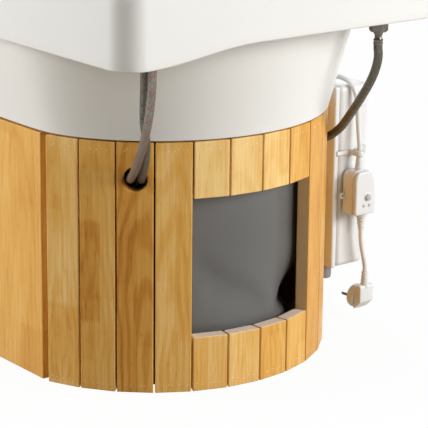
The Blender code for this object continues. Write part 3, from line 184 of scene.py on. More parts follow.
def timber(place):
    """Rubberwood. The attribute grain holds (across, depth, along) of the board it was cut from, stock its
    (seed, tone, figure), heart the (low, high, side) of a darker block in it, and cut (side face, block's depth,
    sill board). Strips end in zigzag joints, growth rings are circles round a pith behind the board, and noise
    drawn out along the grain gives streaks, fibres and pores. Side faces are painted pale: the colour of
    unlacquered cut wood with painted light on it. The sills' upward faces are paler still: end grain with painted
    light from above."""
    across, depth, along = place.stored("grain")
    seed, tone, figure = place.stored("stock")
    low, high, side = place.stored("heart")
    sawn_side_painted_lit, block_depth, bare_top_painted_lit = place.stored("cut")

    def drawn_out(wide, long, shift, detail):
        return place.vector(across * wide + seed * shift, depth * wide, along * long).noise(1, detail)

    comb = along + (across + 1).math("PINGPONG", FINGER_WIDTH) * FINGER_SLOPE
    strip = across > ((seed * 7.31).math("FRACT") - 0.5) * 0.022
    joint = (comb + seed * 0.37 + strip * 0.093) / STRIP_LENGTH
    cell = place.vector(joint.math("FLOOR"), strip, seed)
    length_tone = cell.node("TexWhiteNoise", {"noise_dimensions": "3D"}, {"Vector": cell})
    glue = joint.off_middle().rise(0.4945, 0.4985)
    streak, fibre = drawn_out(250, 6, 5, 3), drawn_out(720, 20, 11, 2)
    pore = drawn_out(560, 62, 1, 1).rise(0.62, 0.74)
    cloud = place.vector(across * 26, seed * 3, along * 7).noise(1, 2)
    sway = place.vector(seed, depth * 3, along * 6 + strip * 9).noise(1, 1)
    offset = across + ((seed * 3.7).math("FRACT") - 0.5) * 0.03 + sway * 0.04 - 0.020
    rise = depth + PITH_DEPTH + (along - 0.17) * PITH_LEAN
    rings = (offset * offset + rise * rise).math("SQRT") * RINGS_PER_METRE + cloud * 1.6
    band = ((rings * 6.2832).math("SINE") * 0.5 + 0.5).rise(0.25, 1)
    hearted = (comb > low) * (1 - (comb > high)) * (across * side > -0.004) * block_depth
    mottle = place.vector(across * 210, depth * 90, along * 26).noise(1, 3)
    shade = tone + 0.03 + (length_tone - 0.5) * 0.17 + (cloud - 0.5) * 0.36 - band * figure
    shade = shade - (streak - 0.5) * 0.36 - (fibre - 0.5) * 0.22 - pore * 0.15 - glue * 0.09
    shade = shade - hearted * (0.6 + mottle.rise(0.35, 0.65) * 0.8)
    colour = shade.node("ValToRGB", {"stops": WOOD_TONES}, {"Fac": shade})
    upward = place.node("NewGeometry", None, None, "Normal").apart()[2].rise(0.55, 0.9)
    # Painted light: the sills' upward faces are painted pale as if lit from above, and the boards' side faces, the
    # window's jamb among them, are painted pale as if lit. Both lie over the colour of unlacquered cut wood.
    colour = (upward * bare_top_painted_lit * 0.9).mix(colour, BARE_TOP_PAINTED_LIT)
    colour = (sawn_side_painted_lit * 0.8).mix(colour, fibre.mix(SAWN_SIDE_PAINTED_LIT_PALE, SAWN_SIDE_PAINTED_LIT_DARK))
    height = fibre * 0.5 - pore * 0.7
    return {"Base Color": colour, "Roughness": fibre * 0.14 + 0.34, "Normal": height.bump(0.00018)}


rubberwood = coat("rubberwood", "rubberwood", {"Specular IOR Level": 0.18}, timber)


def placed(name, data):
    """A new object in the scene."""
    obj = bpy.data.objects.new(name, data)
    bpy.context.scene.collection.objects.link(obj)
    return obj


def skin(name, grids, wrap=(False, False), sharp=40):
    """One mesh through grids of points. Neighbours in a grid make a quad, wrapped sides join last to first,
    and points that coincide are merged."""
    points, faces, start = [], [], 0
    for grid in grids:
        rows, columns = grid.shape[:2]
        index = start + np.arange(rows * columns).reshape(rows, columns)
        index = np.concatenate([index, index[:1]]) if wrap[0] else index
        index = np.concatenate([index, index[:, :1]], 1) if wrap[1] else index
        quads = np.stack([index[:-1, :-1], index[1:, :-1], index[1:, 1:], index[:-1, 1:]], -1)
        points.append(grid.reshape(-1, 3))
        faces.append(quads.reshape(-1, 4))
        start += rows * columns
    mesh = bpy.data.meshes.new(name)
    mesh.from_pydata(np.concatenate(points).tolist(), [], np.concatenate(faces).tolist())
    bm = bmesh.new()
    bm.from_mesh(mesh)
    bmesh.ops.remove_doubles(bm, verts=bm.verts, dist=1e-6)
    bmesh.ops.recalc_face_normals(bm, faces=bm.faces)
    bm.to_mesh(mesh)
    bm.free()
    mesh.shade_smooth()
    mesh.set_sharp_from_angle(angle=math.radians(sharp))
    return placed(name, mesh)


def dress(piece, finish, replaced=(), body="bed"):
    """Gives a piece its finish and its body, and hides the solids that it stands for."""
    material, slot = finish
    piece.data.materials.append(material)
    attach(piece, body)
    if replaced:
        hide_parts(*replaced)
    return piece


def corners_of(obj):
    """The mesh's points as rows of x, y, z."""
    points = np.zeros(len(obj.data.vertices) * 3, np.float32)
    obj.data.vertices.foreach_get("co", points)
    return points.reshape(-1, 3).astype(float)


def mark(obj, **layers):
    """Stores vectors on the mesh's points: one for them all, or one for each."""
    for name, values in layers.items():
        values = np.broadcast_to(np.asarray(values, np.float32), (len(obj.data.vertices), 3))
        layer = obj.data.attributes.new(name, "FLOAT_VECTOR", "POINT")
        layer.data.foreach_set("vector", np.ascontiguousarray(values).ravel())


def move(obj, points):
    """Puts the mesh's points in these places."""
    obj.data.vertices.foreach_set("co", np.ascontiguousarray(points, np.float32).ravel())
    obj.data.update()


def unit(vectors):
    """The vectors, each divided by its length."""
    return vectors / np.linalg.norm(vectors, axis=-1, keepdims=True)


def quarter(radius, steps):
    """Points of a quarter round: how far each lies from the face where it ends, and from the one where it starts."""
    arc = np.radians(np.linspace(0, 90, steps + 1))
    return list(zip(radius * (1 - np.sin(arc)), radius * (1 - np.cos(arc))))


def block(low, high, radius, arc=3, margin=0.0012):
    """A box with rounded edges. Points on each side's lattice are pulled in to the box shrunk by the radius, and
    pushed out again from there by the radius, along the line between the two."""
    low, high = np.array(low, float), np.array(high, float)
    half, centre = (high - low) / 2, (low + high) / 2
    turns = radius * np.tan(np.radians(np.linspace(0, 45, arc + 1)))
    knots = []
    for size in half:
        outer = size - radius + turns
        inner = max(size - radius - margin, 0)
        knots.append(np.concatenate([-outer[::-1], [-inner, inner], outer]))
    grids = []
    for axis in range(3):
        u, v = (axis + 1) % 3, (axis + 2) % 3
        for sign in (-1, 1):
            point = np.zeros((len(knots[u]), len(knots[v]), 3))
            point[..., axis] = sign * half[axis]
            point[..., u], point[..., v] = knots[u][:, None], knots[v][None]
            core = np.clip(point, radius - half, half - radius)
            grids.append(centre + core + radius * unit(point - core))
    return grids


def board_half(depth):
    """Half the width of a nose board at a depth behind its face: its sides run towards the nose's axis."""
    return (BOARD_FACE - depth) * math.tan(SEAM / 2) - BOARD_GAP / 2


def bored_board(bottom, top, hole):
    """A board with a round hole: rings of points run out over the front from the hole's edge, over the eased
    edges, in over the back and out again through the hole. Each ring has as many points as the outline."""
    side, up = (np.linspace(-1, 1, count + 1)[:-1] for count in (12, 32))
    square = np.concatenate([
        np.stack([side, 0 * side - 1], 1), np.stack([0 * up + 1, up], 1),
        np.stack([-side, 0 * side + 1], 1), np.stack([0 * up - 1, -up], 1),
    ])
    middle, half = (bottom + top) / 2, (top - bottom) / 2

    def edge(inset, depth):
        x = square[:, 0] * (board_half(depth) - inset)
        z = middle + square[:, 1] * (half - inset)
        return np.stack([x, 0 * x + depth, z], 1)

    face = edge(0, 0)
    turn = np.arctan2(face[:, 2] - hole, face[:, 0])

    def bore(wider, depth):
        radius = HOSE_HOLE_RADIUS + wider
        return np.stack([radius * np.cos(turn), 0 * turn + depth, hole + radius * np.sin(turn)], 1)

    eased = quarter(EASED, 3)
    rings = [bore(0, BOARD_THICKNESS), *(bore(end, start) for end, start in eased[::-1])]
    rings += [bore(2 * EASED, 0), edge(2 * EASED, 0), *(edge(end, start) for end, start in eased)]
    rings += [edge(start, BOARD_THICKNESS - end) for end, start in eased]
    return [np.array(rings)]


def stood(flat, index):
    """Places round the nose of points that are given across, behind and up the face of board number index."""
    angle = (index + 0.5) * SEAM
    out = np.array([math.sin(angle), -math.cos(angle), 0])
    along = np.array([math.cos(angle), math.sin(angle), 0])
    return (BOARD_FACE - flat[..., 1:2]) * out + flat[..., :1] * along + flat[..., 2:] * (0, 0, 1) + (0, HEAD_Y, 0)


NO_HEART = (-1, -1, 1, 0)


def nose_board(node, index, bottom, top, stock, heart=NO_HEART):
    """Board number index round the nose: made flat with its face at depth 0, then stood at its angle."""
    name = node + "_timber"
    if index in BORED_BOARDS:
        piece = skin(name, bored_board(bottom, top, BORED_BOARDS[index]), (True, True))
        flat = corners_of(piece)
    else:
        half = board_half(0)
        piece = skin(name, block((-half, 0, bottom), (half, BOARD_THICKNESS, top), EASED))
        flat = corners_of(piece)
        flat[:, 0] *= board_half(flat[:, 1]) / half
    # The side faces and the sills' tops are marked here for the painted light that timber gives them.
    edge = np.abs(flat[:, 0]) > board_half(flat[:, 1]) - 1e-5
    cut = np.stack([edge, 0 * edge + heart[3], 0 * edge + (top == WINDOW_BOTTOM)], 1)
    mark(piece, grain=flat, stock=stock, heart=heart[:3], cut=cut)
    move(piece, stood(flat, index))
    dress(piece, rubberwood, [node])


TALL_STOCK = {-6: (1.3, 0.82, 0.06), -5: (2.9, 0.75, 0.07), -4: (4.6, 0.60, 0.17), -3: (6.1, 0.81, 0.09),
              2: (7.7, 0.66, 0.06), 3: (9.2, 0.66, 0.07), 4: (10.4, 0.66, 0.06), 5: (11.9, 0.64, 0.06)}
HEAD_STOCK = {-2: (13.3, 1.0, 0.05), -1: (14.8, 0.93, 0.06), 0: (16.1, 0.87, 0.06), 1: (17.7, 0.78, 0.08)}
SILL_STOCK = {-2: (19.2, 0.82, 0.05), -1: (20.6, 0.80, 0.06), 0: (22.3, 0.66, 0.09), 1: (23.9, 0.74, 0.05)}
HEARTS = {-6: (0.012, 0.126, 0, 0.11), -5: (0.1065, 0.255, -1, 0.20)}
for index in range(-SIDE_COUNT, SIDE_COUNT):
    number = f"{index + SIDE_COUNT + 1:02d}"
    if index in WINDOW_BOARDS:
        nose_board("window_head_board_" + number, index, WINDOW_TOP, BASE_HEIGHT, HEAD_STOCK[index])
        nose_board("window_sill_board_" + number, index, 0, WINDOW_BOTTOM, SILL_STOCK[index])
    else:
        heart = HEARTS.get(index, NO_HEART)
        nose_board("base_board_" + number, index, 0, BASE_HEIGHT, TALL_STOCK[index], heart)


# Brads: thin nails driven through every board near its top and bottom into the plates behind. Their heads are
# filled and lacquered over, and show as rows of small pale dots.
BRAD_RADIUS, BRAD_DOME, BRAD_PROUD = 0.0008, 0.0002, 0.00002
BRADS_PER_ROW, BRAD_INSET, BRAD_SPREAD = 5, 0.011, 0.017
BRAD_SWAY, BRAD_DRIFT = 0.0026, 0.0012


def mottled(first, second, patches, rough, sway, grain=None, depth=0):
    """Paint for an uneven finish: noise of patches (scale, detail) drifts between two colours and adds up to sway
    to the roughness, and noise of grain (scale, detail) stands up by depth."""
    def paint(place):
        drift = place.noise(*patches)
        look = {"Base Color": drift.mix((*first, 1), (*second, 1)), "Roughness": drift * sway + rough}
        return {**look, "Normal": place.noise(*grain).bump(depth)} if grain else look
    return paint


def shell(name, grids, finish, replaced=(), body="bed", sharp=40):
    """A dressed piece whose rows of points close on themselves."""
    return dress(skin(name, grids, (False, True), sharp), finish, replaced, body)


def brad_heads():
    """Low domes in rows: a dome's radius falls as the cosine of its height angle, and it stands out along the
    board's face. Their places along each row waver a little."""
    draw = np.random.default_rng(5)
    turn = np.linspace(0, 2 * np.pi, 9)[:-1]
    lift = np.radians([0, 45, 90])[:, None]
    round_by, out_by = np.cos(lift) * BRAD_RADIUS, BRAD_PROUD + BRAD_DOME * np.sin(lift) + 0 * turn
    dome = np.stack([round_by * np.cos(turn), -out_by, round_by * np.sin(turn)], -1)
    grids = []
    for index in range(-SIDE_COUNT, SIDE_COUNT):
        for height in (BRAD_INSET, BASE_HEIGHT - BRAD_INSET):
            x = np.linspace(-BRAD_SPREAD, BRAD_SPREAD, BRADS_PER_ROW) + draw.normal(0, BRAD_SWAY, BRADS_PER_ROW)
            z = height + draw.normal(0, BRAD_DRIFT, BRADS_PER_ROW)
            grids += list(stood(dome + np.stack([x, 0 * x, z], 1)[:, None, None], index))
    return grids


filler_paint = mottled((0.80, 0.68, 0.50), (0.92, 0.86, 0.74), (140, 1), 0.5, 0.2)
filler = coat("brad_filler", "rubberwood", {"Specular IOR Level": 0.3}, filler_paint)
shell("brad_heads", brad_heads(), filler)


# Side and foot panels and the bed's deck: wide boards of the same wood, edge to edge, with eased joints.
# The panels carry the bed and stand on the floor.
PANEL_X = NOSE_RADIUS * math.sin(SIDE_COUNT * SEAM)
PANEL_SET_BACK = 0.0115
PANEL_START = -NOSE_RADIUS * math.cos(SIDE_COUNT * SEAM) + PANEL_SET_BACK + HEAD_Y
BASE_END = 1.808 + HEAD_Y
PANEL_BOARDS, FOOT_BOARDS, DECK_BOARDS = 14, 4, 5
PANEL_TONE_SPREAD, PANEL_FIGURE = 0.05, 0.05


def panel(node, low, high, axis, count, order, outer, tone):
    """A row of boards along an axis. order names which coordinate runs across, through and along the grain, and
    outer is where their faces lie."""
    edges = np.linspace(low[axis], high[axis], count + 1)
    draw = np.random.default_rng(len(node))
    parts = []
    for ends in zip(edges, edges[1:]):
        corners = np.array([low, high], float)
        corners[:, axis] = ends
        part = skin(node + "_part", block(*corners, EASED))
        points = corners_of(part)
        grain = (points - corners.mean(0))[:, order]
        grain[:, 1] = np.abs(points[:, order[1]] - outer)
        stock = (draw.uniform(30, 90), tone + draw.normal(0, PANEL_TONE_SPREAD), PANEL_FIGURE)
        mark(part, grain=grain + (0, 0, BASE_HEIGHT / 2), stock=stock, heart=NO_HEART[:3], cut=(0, 0, 0))
        parts.append(part)
    with bpy.context.temp_override(active_object=parts[0], selected_editable_objects=parts):
        bpy.ops.object.join()
    parts[0].name = node + "_timber"
    dress(parts[0], rubberwood, [node])


for node, side in (("side_panel_left", -1), ("side_panel_right", 1)):
    near, far = side * (PANEL_X - BOARD_THICKNESS), side * PANEL_X
    low, high = (min(near, far), PANEL_START, 0), (max(near, far), BASE_END, BASE_HEIGHT)
    panel(node, low, high, 1, PANEL_BOARDS, [1, 0, 2], far, 0.67)
panel("foot_panel", *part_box("foot_panel"), 0, FOOT_BOARDS, [0, 1, 2], BASE_END, 0.58)
deck_low, deck_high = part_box("bed_deck")
panel("bed_deck", deck_low, deck_high, 0, DECK_BOARDS, [0, 2, 1], deck_high[2], 0.55)


# Inner plates: raw plywood that the boards are nailed to and the basin stands on. They are sawn to shape and left
# bare, and their solids show as they are.
def ply(place):
    """Rotary-cut veneer: long wavering bands along X, with fine pores."""
    x, y, z = place.apart()
    bands = place.vector(x * 3, y * 40, z * 400).noise(1, 3)
    pores = place.vector(x * 60, y * 900, z * 900).noise(1, 1)
    tone = bands.rise(0.3, 0.7) * 0.8 + pores * 0.2
    colour = tone.mix((0.50, 0.35, 0.20, 1), (0.68, 0.53, 0.35, 1))
    return {"Base Color": colour, "Roughness": pores * 0.2 + 0.6, "Normal": pores.bump(0.0001)}


def keep_nodes(finish, *names):
    """Solids that show as they are, with a better finish."""
    for name in names:
        nodes[name].data.materials.clear()
        nodes[name].data.materials.append(finish[0])


plywood = coat("plywood", "plywood", {"Specular IOR Level": 0.3}, ply)
keep_nodes(plywood, "top_ring", "floor_plate", "bulkhead")


# Basin: slip-cast vitreous china under a thick white glaze, in one piece: bowl, rolled rim, deep skirt, and the
# leaning outside of the bowl down to the foot that stands on the base.
FIT = 0.0003
RIM_HALF_WIDTH, RIM_FRONT, RIM_BACK, RIM_CORNER = 0.305, 0.352, 0.300, 0.037
RIM_TOP, RIM_ROUND, DECK_THICKNESS = 0.616, 0.018, 0.026
SKIRT_LOW, SKIRT_HIGH, SKIRT_WALL, SKIRT_LIP = 0.5058, 0.5234, 0.014, 0.0028
SKIRT_RISE_START, SKIRT_RISE_END = -0.270, -0.085
POCKET_LEAST, POCKET_GROWS = 0.004, 0.030
BOWL_HALF, BOWL_FRONT, BOWL_CORNER = 0.262, 0.285, 0.200
BOWL_FLOOR, BOWL_WALL = 0.430, 0.018
BOWL_DEPTH = RIM_TOP - BOWL_FLOOR
BOWL_STEPS = ((0.018, 0.10), (0.010, 0.30), (0.004, 0.55))
HALF_WALL, WALL_BLEND = 0.010, 0.006
DRAIN_RADIUS, DRAIN_SINK = 0.024, 0.005
CONE_OUT, CONE_SLOPE, CONE_BLEND = 0.003, 0.26, 0.010
NOTCH_DEPTH, NOTCH_FLOOR, NOTCH_MOUTH = 0.060, 0.055, 0.165
FOOT = BASE_HEIGHT + FIT
FOOT_START, FOOT_JOINT, FOOT_ROUND, FOOT_TUCK, FOOT_WIDTH, FOOT_FLARE = 0.010, 0.0026, 0.0008, 0.016, 0.020, 0.008
glaze = mottled((0.773, 0.778, 0.770), (0.796, 0.802, 0.798), (4.5, 2), 0.27, 0.06, (22, 1), 0.00025)
china = coat("white_china", "white_china", {"Specular IOR Level": 0.2}, glaze)


def ease(t):
    """0 below 0, 1 above 1, and three times the square less twice the cube between."""
    t = np.clip(t, 0, 1)
    return t * t * (3 - 2 * t)


def lesser(a, b, blend):
    """A soft minimum: the two run into each other where they differ by about the blend or less."""
    return (a + b - np.sqrt((a - b) ** 2 + blend**2)) / 2


def reach(turns, half_width, front, back, corner):
    """How far a rounded rectangle lies from the bowl's axis in each direction, found by halving an interval."""
    centre = np.array([0, (back - front) / 2])
    inner = np.array([half_width, (front + back) / 2]) - corner
    rays = np.stack([np.sin(turns), -np.cos(turns)], 1)
    near, far = np.zeros(len(turns)), np.ones(len(turns))
    for _ in range(50):
        middle = (near + far) / 2
        over = np.abs(rays * middle[:, None] - centre) - inner
        outside = np.linalg.norm(np.maximum(over, 0), axis=1) + np.minimum(over.max(1), 0) > corner
        near, far = np.where(outside, near, middle), np.where(outside, middle, far)
    return near


def rim_turns(corner_steps, side_steps):
    """Directions of points along the rim: even steps round each corner arc and along each side."""
    x, y0, y1, r = RIM_HALF_WIDTH, -RIM_FRONT, RIM_BACK, RIM_CORNER
    centres = ((x - r, y0 + r), (x - r, y1 - r), (r - x, y1 - r), (r - x, y0 + r))
    arcs = []
    for centre, start in zip(centres, (-90, 0, 90, 180)):
        turn = np.radians(start + np.linspace(0, 90, corner_steps + 1))
        arcs.append(centre + r * np.stack([np.cos(turn), np.sin(turn)], 1))
    points = []
    for arc, following, steps in zip(arcs, arcs[1:] + arcs[:1], side_steps):
        share = np.linspace(0, 1, steps + 1)[1:-1, None]
        points += [arc, arc[-1] + share * (following[0] - arc[-1])]
    points = np.concatenate(points)
    return np.arctan2(points[:, 0], -points[:, 1])


def rim_at(turns, inset):
    """How far the rim's outline, drawn in by an inset, lies from the bowl's axis."""
    corner = max(RIM_CORNER - inset, RIM_CORNER / 4)
    return reach(turns, RIM_HALF_WIDTH - inset, RIM_FRONT - inset, RIM_BACK - inset, corner)


def bowl_at(turns, inset):
    """How far the bowl's outline, drawn in by an inset, lies from its axis."""
    return reach(turns, BOWL_HALF - inset, BOWL_FRONT - inset, BOWL_HALF - inset, BOWL_CORNER)


def cone_at(turns, height):
    """The outside of the bowl: a cone round the nose, cut by flat sides that lean as it does. The two run into
    each other over a few centimetres."""
    lean = CONE_OUT + CONE_SLOPE * (height - FOOT - FOOT_START)
    side = (PANEL_X + lean) / np.maximum(np.abs(np.sin(turns)), 0.001)
    return lesser(NOSE_RADIUS + lean, side, CONE_BLEND)


def bowl_wall(turns, inset, height):
    """The bowl's inside, drawn in at its corners so that it stays within the cone by half a wall."""
    return lesser(bowl_at(turns, inset), cone_at(turns, height) - HALF_WALL, WALL_BLEND)


def notch(turns):
    """How far the rim dips for the neck: a smooth saddle in the middle of the back side."""
    across = np.abs(RIM_BACK * np.tan(turns))
    dip = NOTCH_DEPTH * ease((NOTCH_MOUTH - across) / (NOTCH_MOUTH - NOTCH_FLOOR))
    return np.where(np.cos(turns) < 0, dip, 0)


def ring(turns, distance, height):
    """Points at a distance from the bowl's axis and a height, one in each direction."""
    distance, height = np.broadcast_to(distance, turns.shape), np.broadcast_to(height, turns.shape)
    return np.stack([distance * np.sin(turns), HEAD_Y - distance * np.cos(turns), height], 1)


def flow(rings, steps):
    """Rows between the given ones, on Catmull-Rom curves through them."""
    rings = np.array(rings, float)
    knots = np.concatenate([rings[:1], rings, rings[-1:]])
    t = np.linspace(0, len(rings) - 1, (len(rings) - 1) * steps + 1)
    i = np.minimum(t.astype(int), len(rings) - 2)
    s = (t - i).reshape(-1, *[1] * (rings.ndim - 1))
    a, b, c, d = (knots[i + k] for k in range(4))
    return 0.5 * (2 * b + (c - a) * s + (2 * a - 5 * b + 4 * c - d) * s**2 + (3 * b - a - 3 * c + d) * s**3)


def basin_rings(turns):
    """The whole wall as one closed sweep: up the bowl, over the lip and deck, down the skirt, up into its pocket,
    down the leaning outside to the foot, and back under the bowl to the drain."""
    def at(distance, height):
        return ring(turns, distance, height)

    def rim(inset):
        return rim_at(turns, inset)

    crest = RIM_TOP - notch(turns)
    risen = ease((rim(0) * np.sin(turns) - SKIRT_RISE_START) / (SKIRT_RISE_END - SKIRT_RISE_START))
    lower = SKIRT_LOW + (SKIRT_HIGH - SKIRT_LOW) * risen
    sunk = BOWL_FLOOR - DRAIN_SINK
    bowl = [at(DRAIN_RADIUS, sunk), at(DRAIN_RADIUS * 1.7, sunk), at(BOWL_HALF * 0.6, BOWL_FLOOR)]
    for inset, share in BOWL_STEPS:
        height = BOWL_FLOOR + BOWL_DEPTH * share
        bowl.append(at(bowl_wall(turns, inset, height), height))
    bowl.append(at(bowl_at(turns, 0), crest - RIM_ROUND))
    rings = list(flow(bowl, 5))
    edge_round = quarter(RIM_ROUND, 8)[1:]
    rings += [at(bowl_at(turns, -start), crest - end) for end, start in edge_round]
    rings += list(flow([rings[-1], at(rim(RIM_ROUND), crest)], 4))[1:]
    rings += [at(rim(end), crest - start) for end, start in edge_round]
    rings += list(flow([rings[-1], at(rim(0), lower + SKIRT_LIP)], 6))[1:]
    rings += [at(rim(start), lower + end) for end, start in quarter(SKIRT_LIP, 4)[1:]]
    inside = rim(SKIRT_WALL)
    room = ease((inside - cone_at(turns, SKIRT_HIGH)) / POCKET_GROWS)
    ceiling = lower + POCKET_LEAST + room * (crest - DECK_THICKNESS - lower - POCKET_LEAST)
    top = np.minimum(cone_at(turns, ceiling), inside - POCKET_LEAST)
    rings += [at(inside, lower), at(inside, ceiling), at(top, ceiling)]
    joint = FOOT + FOOT_JOINT
    edge = cone_at(turns, joint + FOOT_ROUND)
    rings += list(flow([rings[-1], at(edge, joint + FOOT_ROUND)], 8))[1:]
    rings += [at(edge - start, joint + end) for end, start in quarter(FOOT_ROUND, 4)[1:]]
    sole, under = edge - FOOT_TUCK, BOWL_FLOOR - BOWL_WALL
    rings += [at(sole, joint), at(sole, FOOT), at(sole - FOOT_WIDTH, FOOT)]
    rings += [at(sole - FOOT_WIDTH - FOOT_FLARE, under), at(DRAIN_RADIUS, under)]
    return np.array(rings)


basin = skin("basin_glazed", [basin_rings(rim_turns(24, (40, 120, 40, 72)))], (True, True))
dress(basin, china, ["basin"])


# Neck rest: a moulded saddle of soft black silicone, pushed over the notch in the rim and held there by its own
# grip. It is thick in the middle and rounded at its hem.
NECK_HALF_WIDTH, NECK_THICKNESS, NECK_DROP, NECK_CLEAR = 0.12125, 0.0095, 0.010, 0.0009
NECK_STEPS = ((0.007, 0.43), (0.004, 0.55))


def soft_skin(place):
    """Moulded silicone with a fine matt grain."""
    fine, cloud = place.noise(900, 1), place.noise(14, 2)
    return {"Base Color": cloud.mix((0.030, 0.030, 0.033, 1), (0.048, 0.048, 0.052, 1)),
            "Roughness": fine * 0.12 + 0.46, "Normal": fine.bump(0.00008)}


def neck_saddle():
    """A closed pad over the notch: its under side follows the china, and its upper side stands off by a thickness
    that falls to nothing at the hem, as the root of 1 less the eighth power of the share of the way there."""
    turns = np.pi + np.linspace(-1, 1, 61) * math.atan(NECK_HALF_WIDTH / RIM_BACK)
    crest = RIM_TOP - notch(turns)
    over = quarter(RIM_ROUND + NECK_CLEAR, 5)
    rows = [ring(turns, bowl_at(turns, inset + NECK_CLEAR), BOWL_FLOOR + BOWL_DEPTH * share)
            for inset, share in NECK_STEPS]
    rows += [ring(turns, bowl_at(turns, NECK_CLEAR - start), crest + NECK_CLEAR - end) for end, start in over]
    rows += [ring(turns, rim_at(turns, end - NECK_CLEAR), crest + NECK_CLEAR - start) for end, start in over]
    rows.append(ring(turns, rim_at(turns, -NECK_CLEAR), crest - RIM_ROUND - NECK_DROP))
    under = np.array(rows)
    v, u = (np.linspace(-1, 1, count) for count in under.shape[:2])
    swell = np.sqrt(np.maximum(1 - u**8, 0)) * np.sqrt(np.maximum(1 - v**8, 0))[:, None]
    normal = unit(np.cross(np.gradient(under, axis=1), np.gradient(under, axis=0)))
    normal *= np.sign(normal[len(rows) // 2, len(turns) // 2, 2])
    return [under, under + normal * (NECK_THICKNESS * swell)[..., None]]


silicone = coat("silicone", "silicone", {"Specular IOR Level": 0.45}, soft_skin)
dress(skin("neck_saddle", neck_saddle(), sharp=80), silicone, ["neck_rest"])


# Waste: a pressed brass flange under chrome plate, clamped into the bowl, with a plated strainer that lifts out of
# it. The trap and the pipe under it are plain moulded plastic.
def turned(profile, place, steps=48, axis=(0, 0, 1)):
    """A turned piece: (radius, height) points spun about an axis through place."""
    profile = np.array(profile, float)
    turn = np.linspace(0, 2 * np.pi, steps + 1)[:-1, None]
    along = unit(np.array(axis, float))
    side = unit(np.cross(along, (1, 0, 0) if abs(along[0]) < 0.9 else (0, 1, 0)))
    spokes = np.cos(turn) * side + np.sin(turn) * np.cross(along, side)
    return np.array(place) + profile[:, :1, None] * spokes + profile[:, 1:, None] * along


def metal(name, slot, first, second, patches, rough, sway):
    """Metal with marks of wiping or wear in patches."""
    return coat(name, slot, {"Metallic": 1.0}, mottled(first, second, (patches, 2), rough, sway))


def plastic(name, slot, first, second, rough):
    """Moulded plastic: a faint drift of colour and a fine spark-eroded grain."""
    return coat(name, slot, {"IOR": 1.46}, mottled(first, second, (16, 2), rough, 0.08, (1400, 1), 0.00004))


chrome = metal("chrome", "chrome", (0.54, 0.54, 0.55), (0.64, 0.64, 0.645), 60, 0.13, 0.10)
brass = metal("brass", "brass", (0.55, 0.38, 0.13), (0.72, 0.54, 0.24), 45, 0.25, 0.2)
white_plastic = plastic("white_plastic", "white_plastic", (0.725, 0.730, 0.735), (0.770, 0.776, 0.782), 0.30)
grey_plastic = plastic("grey_plastic", "grey_plastic", (0.26, 0.26, 0.265), (0.31, 0.31, 0.31), 0.45)
SEAT = np.array([0, HEAD_Y, BOWL_FLOOR - DRAIN_SINK + FIT])
CUP_TOP = SEAT + (0, 0, 0.0033)
flange = [(0.0205, 0.003), (0.0215, 0.0032), (0.0300, 0.0024), (0.0336, 0.0012), (0.0340, 0), (0.0234, 0),
          (0.0234, -0.0683), (0.0205, -0.0683), (0.0205, 0.003)]
shell("drain_flange_pressed", [turned(flange, SEAT)], chrome, ["drain_flange"])
cup = [(0, 0.0040), (0.004, 0.0039), (0.005, 0.0030), (0.012, 0.0030), (0.021, 0.0020), (0.0238, 0.0010), (0.0239, 0),
       (0.0199, -0.0003), (0.0184, -0.022), (0, -0.022)]
shell("drain_strainer_turned", [turned(cup, CUP_TOP)], chrome, ["drain_strainer"], "strainer")
keep_nodes(white_plastic, "drain_trap")
keep_nodes(grey_plastic, "waste_pipe")


# Mixer tap: a cast and plated body with a swept spout on the rim's corner, its lever on a ball above it, and the
# brass back nut that holds it under the deck.
DECK = RIM_TOP + FIT
TAP = np.array([-0.2372, -0.3117 + HEAD_Y, DECK])
TAP_HEIGHT = 0.088
UP = np.array([0, 0, 1.0])
AIM = np.array([0.6056, 0.7958, 0])
PIVOT = TAP + UP * (TAP_HEIGHT + 0.0093)
BALL_RADIUS, SOCKET_RADIUS = 0.006, 0.0063


def across_path(path, up):
    """At each point of a path, the two directions square to it: one that is square to up too, and the third."""
    tangent = unit(np.gradient(path, axis=0))
    side = unit(np.cross(tangent, up))
    return side, np.cross(side, tangent)


def swept(path, radius, sides, up):
    """A round tube: circles square to the path, of one radius or one for each point, whose ends run to a pole."""
    side, third = across_path(path, up)
    path, side, third = (np.concatenate([a[:1], a, a[-1:]])[:, None] for a in (path, side, third))
    radius = np.pad(np.broadcast_to(radius, len(path) - 2), 1)[:, None, None]
    turn = np.linspace(0, 2 * np.pi, sides + 1)[:-1, None]
    return path + radius * (np.cos(turn) * side + np.sin(turn) * third)


def aimed(start, places, steps, radii, sides):
    """A tapered tube from start on a curve through places, each given along the tap's aim and up."""
    path = flow(start + np.array(places) @ [AIM, UP], steps)
    return swept(path, np.linspace(*radii, len(path)), sides, np.cross(AIM, UP))


column = [(0, TAP_HEIGHT), (0.0172, TAP_HEIGHT), (0.0188, 0.0875), (0.0202, 0.0864), (0.021, 0.0846), (0.021, 0.012),
          (0.0215, 0.0085), (0.0245, 0.006), (0.025, 0.005), (0.025, 0), (0.0165, 0), (0.0165, -0.0401), (0, -0.0401)]
spout = [(0, 0), (0.04375, 0.016), (0.09375, 0.020), (0.12125, 0.006), (0.125, -0.016)]
mixer = [turned(column, TAP), aimed(TAP + UP * TAP_HEIGHT * 0.62, spout, 7, (0.0118, 0.0098), 24)]
shell("mixer_body_cast", mixer, chrome, ["mixer_body"])
backnut = [(0.0168, -0.0266), (0.0225, -0.0266), (0.0235, -0.0276), (0.0235, -0.0346), (0.0225, -0.0356),
           (0.0168, -0.0356), (0.0168, -0.0266)]
shell("mixer_backnut_turned", [turned(backnut, TAP)], brass, ["mixer_backnut"])
ball = [(BALL_RADIUS * math.sin(t), BALL_RADIUS * math.cos(t)) for t in np.radians(range(0, 141, 10))]
ball += [(ball[-1][0], -0.007), (0.010, -0.007), (0.010, -0.009), (0, -0.009)]
